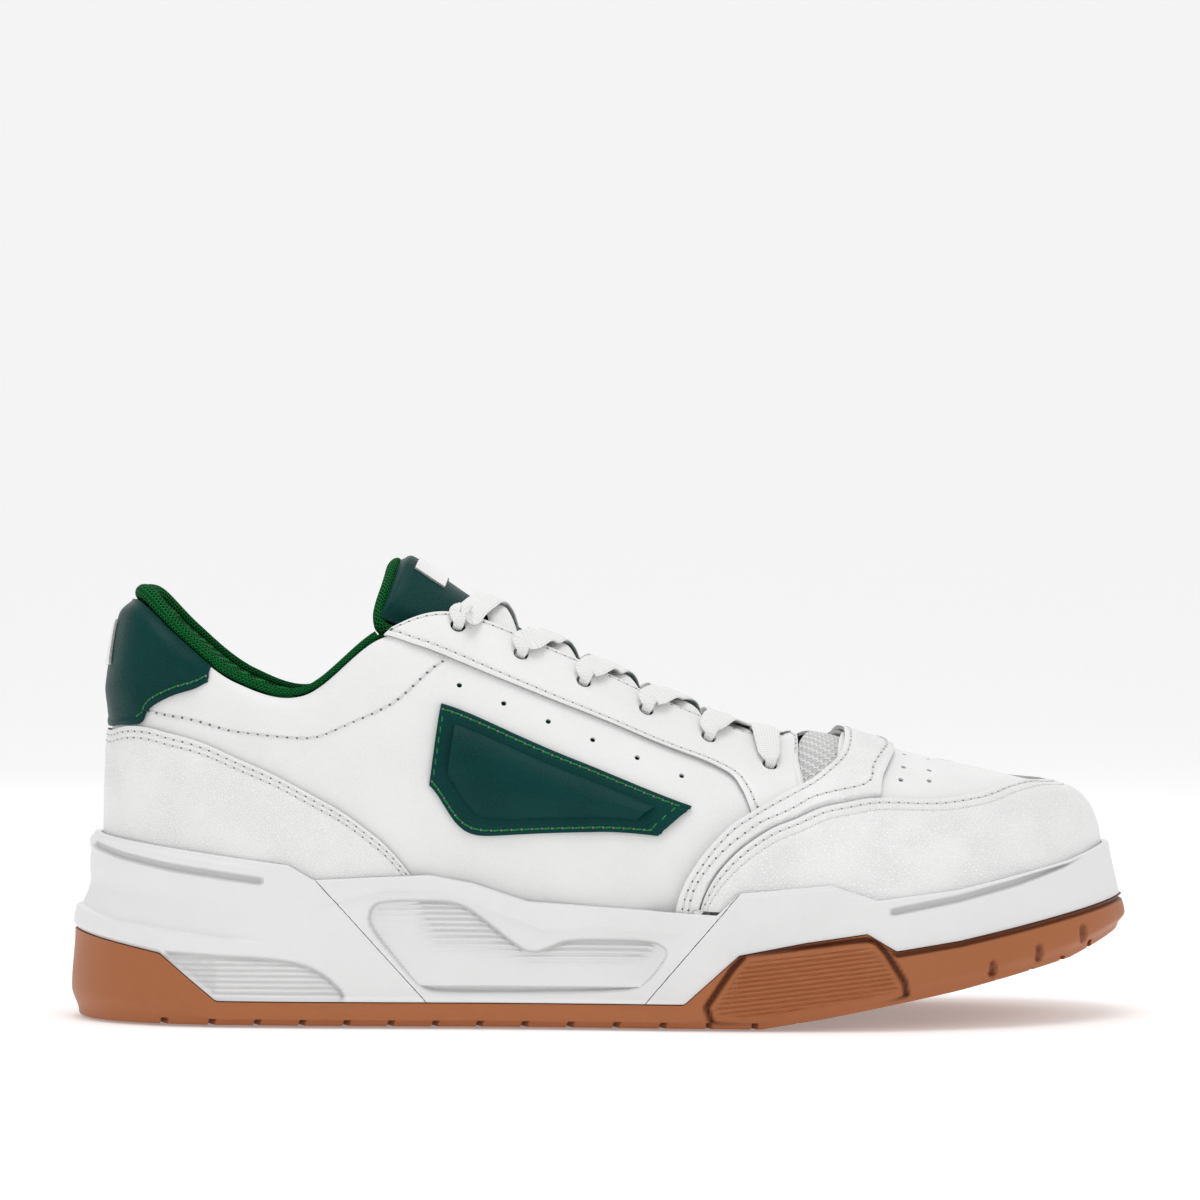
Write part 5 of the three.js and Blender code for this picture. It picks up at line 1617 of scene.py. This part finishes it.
def tongue_point(a, b):
    """The tongue's face: a from its root to its top, b from its lateral to its medial wing."""
    a, b = np.broadcast_arrays(np.asarray(a, float), np.asarray(b, float))
    place = np.clip(a, 0, 0.9999) * (len(TONGUE) - 1)
    start = np.floor(place).astype(int)
    rows = [TONGUE[np.clip(start + k, 0, len(TONGUE) - 1)] for k in (-1, 0, 1, 2)]
    x, z, half, fall, back = np.moveaxis(blend(*rows, (place - start)[..., None]), -1, 0)
    wing = np.abs(b) ** 2.2
    return np.stack([(x - back * wing) * SX, half * b * SY, (z - fall * wing) * SZ], -1)


def on_tongue(a, b, lift):
    a, b, lift = np.broadcast_arrays(*(np.asarray(q, float) for q in (a, b, lift)))
    e = 0.005
    inside = np.clip(a, e, 1 - e)
    along = tongue_point(inside + e, b) - tongue_point(inside - e, b)
    side = tongue_point(a, b + e) - tongue_point(a, b - e)
    n = unit(np.cross(side, along))
    n = np.where(n[..., 2:] < 0, -n, n)
    return tongue_point(a, b) + n * lift[..., None]


def tongue_line(b):
    return lambda t: np.stack([np.asarray(t, float), np.full(np.shape(t), b)], -1)


def make_tongue():
    """Leather face, knitted lining, rolled edge and plain label of the padded tongue."""
    def face_outer(a, b, from_left, from_right):
        near = np.minimum(np.minimum(from_left, from_right), (TONGUE_TOP + 0.02 - a) * 130)
        quilt = 0.5 * smoothstep(near, 1, 7) * smoothstep(a, 0.5, 0.7)
        return quilt - rolled(near, TONGUE_FOAM * 0.5, 1.5)
    wings = tongue_line(-0.96), tongue_line(0.96)
    face = lay_panel("tongue_leather", *wings, 150, 70, face_outer, SKIN,
                     ["green_leather", "green_edge"], start=0.02, stop=TONGUE_TOP + 0.02,
                     surface=on_tongue)
    hand_over(face, "tongue", ["green_leather"], ["tongue_face"])

    def lining_outer(a, b, from_left, from_right):
        return np.full(a.shape, -SKIN - 2 * GAP - TONGUE_FOAM) - 0.4 * np.cos(b * 1.5)
    lining = lay_panel("tongue_knit_lining", *wings, 150, 60, lining_outer, SKIN - 0.1,
                       ["green_knit"], start=0.02, stop=TONGUE_TOP + 0.02, surface=on_tongue)
    hand_over(lining, "tongue", ["green_knit"], ["tongue_lining"])

    def label_outer(a, b, from_left, from_right):
        return GAP + 0.75 - rolled(np.minimum(from_left, from_right), 0.2)
    label = lay_panel("tongue_label_patch", tongue_line(-0.42), tongue_line(0.42), 24, 60, label_outer,
                      0.9, ["smooth_leather", "raw_edge"], start=0.83, stop=0.925, surface=on_tongue,
                      edge=0.2)
    hand_over(label, "tongue", ["smooth_leather"], ["tongue_label"])
    make_tongue_edge()


def make_tongue_edge():
    """The rolled knitted edge round the tongue."""
    thickness = 2 * SKIN + 2 * GAP + TONGUE_FOAM
    side = [(a, 1.0) for a in np.arange(0.05, 0.94, 0.075)]
    corner = [(0.95, 0.99), (0.975, 0.93), (0.985, 0.84), (0.985, 0.6), (0.985, 0.4), (0.985, 0.2)]
    half = side + corner
    route = np.array(half + [(0.985, 0)] + [(a, -b) for a, b in half[::-1]])
    line = smooth_line(route, samples=420)
    spot = line(np.linspace(0, 1, 420))
    middles = on_tongue(spot[:, 0], spot[:, 1], -thickness / 2)
    ahead = unit(np.gradient(middles, axis=0))
    up = unit(on_tongue(spot[:, 0], spot[:, 1], 0.0) - middles)
    deep = unit(up - ahead * (up * ahead).sum(-1, keepdims=True))
    wide = np.cross(ahead, deep)
    low_half = 0.34                    # half height of the edge, which lies low in the tongue
    middles -= deep * thickness * (0.5 - low_half)
    bead = sweep("tongue_rolled_edge", middles, wide * BINDING / 2, deep * thickness * low_half,
                 round_section(22), 0.8)
    hand_over(bead, "tongue", ["green_knit"], ["tongue_binding"])


# ---- lace --------------------------------------------------------------------------------------
OVER_EYESTAY = 2 * SKIN + 3 * GAP + LACE_THICK / 2
UNDER_EYESTAY = -LACE_THICK / 2 - 0.2
LACE_CLEAR = 2.3
# the hidden ends, on the side pattern: place, height over the last and half width
TUCKED_END = [(20, 66, -7, 1.3), (8, 71, -7, 1.3), (-6, 77, -7, 3), (-20, 85, -7, 3),
              (-30, 93, -5.2, 2.6), (-35, 99, -3.2, 2)]


def instep_at(s):
    step = along_ribs(s + 0.3)[..., 3:6] - along_ribs(s - 0.3)[..., 3:6]
    return unit(step * (1, 0, 1))


def tongue_at(x):
    a = np.linspace(0, 1, 400)
    return float(np.interp(-x, -tongue_point(a, 0)[:, 0], a))


def lace_stops():
    """Middle, half width, across direction and half thickness at each stop of the lace."""
    stops = []
    half, thin = LACE_WIDTH / 2, LACE_THICK / 2
    eyelets = {hand: spots_along(*EYELET_ROW, EYELETS, hand < 0) for hand in (1, -1)}

    def on_hand(hand, s):
        return s if hand > 0 else LOOP - s

    def throat(hand, s, lift, v=1.0):
        return on_last(on_hand(hand, s), v, lift)

    def go_through(k, hand, inward):
        s, v = eyelets[hand][k]
        hidden = (-0.045, UNDER_EYESTAY - 0.25, half * 0.4) if k == 0 else (0.04, UNDER_EYESTAY, half * 0.6)
        steps = [hidden, (0, UNDER_EYESTAY + 0.5, EYELET_BORE * 0.34),
                 (-0.004, SKIN * 1.5 + GAP, EYELET_BORE * 0.3),
                 (0, OVER_EYESTAY - 0.3, EYELET_BORE * 0.36), (0.04, OVER_EYESTAY, half * 0.78)]
        for dv, lift, wide in (steps[::-1] if inward else steps):
            inside = UNDER_EYESTAY < lift < OVER_EYESTAY
            stops.append((on_last(s, v + dv, lift), wide, instep_at(eyelets[1][k][0]),
                          1.2 * thin if inside else thin))

    def tail(hand, reverse):
        run = []
        for x, z, lift, wide in TUCKED_END:
            s, v = find_on_side(x, z)
            run.append((on_last(on_hand(hand, s), v, lift), wide, np.array([0.4, 0, 1]), thin))
        stops.extend(run[::-1] if reverse else run)

    def cross(k, hand, on_top):
        here, after = eyelets[1][k][0], eyelets[1][k + 1][0]
        start = throat(hand, here + 0.12, OVER_EYESTAY + 0.3) * (1, 0.9, 1)
        stop = throat(-hand, after - 0.1, UNDER_EYESTAY - 0.2)
        hint = instep_at((here + after) / 2)
        run = [(throat(hand, here + 0.06, OVER_EYESTAY, 0.965), half, hint, thin),
               (start, half, hint, thin)]
        for f in (0.25, 0.5, 0.75):
            at = start + (stop - start) * f
            rest = tongue_point(tongue_at(at[0]), at[1] / (SY * 22))[2] + LACE_CLEAR
            at[2] = rest + (1.9 if on_top else 0) + (0.7 if f < 0.5 else 0)
            run.append((at, half, hint, thin))
        run.append((stop, half, hint, thin))
        return run

    tail(1, False)
    hand = 1
    for k in range(EYELETS):
        go_through(k, hand, False)
        if k + 1 < EYELETS:
            stops.extend(cross(k, hand, k % 2 == 0))
        hand = -hand
    hand = -hand
    last = eyelets[1][-1][0]
    hint = instep_at(last)
    ends = [throat(side, last, OVER_EYESTAY + 0.2) for side in (hand, -hand)]
    bar = (ends[0] + ends[1]) / 2
    bar[2] = tongue_point(tongue_at(bar[0]), 0.0)[2] + 2 * SKIN + LACE_CLEAR + 0.4
    stops.append((throat(hand, last, OVER_EYESTAY + 0.2, 0.99), half, hint, thin))
    stops.append((bar, half, hint, thin))
    stops.append((throat(-hand, last, OVER_EYESTAY + 0.2, 0.99), half, hint, thin))
    hand = -hand
    for k in range(EYELETS - 1, -1, -1):
        go_through(k, hand, True)
        if k > 0:
            stops.extend(cross(k - 1, -hand, k % 2 == 0)[::-1])
        hand = -hand
    tail(-hand, True)
    return stops


def make_lace():
    """The flat woven lace, threaded from tail to tail."""
    stops = lace_stops()
    middles = np.array([s[0] for s in stops])
    rest = np.array([[s[1], *s[2], s[3]] for s in stops])
    line = smooth_line(middles, samples=len(middles) * 16)
    t = np.linspace(0, 1, len(middles) * 16)
    path = line(t)
    share = np.clip(t * (len(middles) - 1), 0, len(middles) - 1)
    facts = np.stack([np.interp(share, np.arange(len(middles)), rest[:, c]) for c in range(5)], -1)
    ahead = unit(np.gradient(path, axis=0))
    hint = facts[:, 1:4]
    across = unit(hint - ahead * (hint * ahead).sum(-1, keepdims=True))
    up = np.cross(ahead, across)
    turns = np.linspace(0, 2 * np.pi, 28, endpoint=False)
    # a flat section with full, round edges
    x = np.sign(np.cos(turns)) * np.abs(np.cos(turns)) ** 0.55
    z = np.sign(np.sin(turns)) * np.abs(np.sin(turns)) ** 0.85
    piece = sweep("woven_lace", path, across * facts[:, :1], up * facts[:, 4:] * 1.05,
                  np.stack([x, z], -1), 0)
    hand_over(piece, "shoe", ["lace_weave"], ["lace"])


# ---- inside ------------------------------------------------------------------------------------
SOCKLINER = 4.5
BOARD = 1.8


def make_sockliner():
    """The removable footbed, cupped at the heel, with a knitted top."""
    count = 240
    s = even_rib_places(count)
    rings = []

    def ring(reach, lift):
        points = along_ribs(s)[:, :3] + plan_normal(s) * reach
        points[:, 2] = feather(points[:, 0]) + BOARD + GAP + lift
        return points
    for f in np.linspace(0, 1, 8):
        rings.append(ring(-5.5 + 0.7 * math.sin(math.pi * f), SOCKLINER * f))
    piece = ring_mesh("footbed", rings)
    points = read_points(piece.data) / MM
    write_map(piece.data, points[:, :2])
    smooth(piece, 50)
    hand_over(piece, "sockliner", ["green_knit"], ["sockliner"])


finish_hidden_parts()
make_outsole()
make_cupsole()
make_sockliner()
make_quarters()
make_vamp_mesh()
make_toe_vamp()
make_heel_leather()
make_eyestays()
make_saddle_strip()
make_mudguard()
make_side_appliques()
make_collar()
make_quarter_linings()
make_tongue()
make_lace()
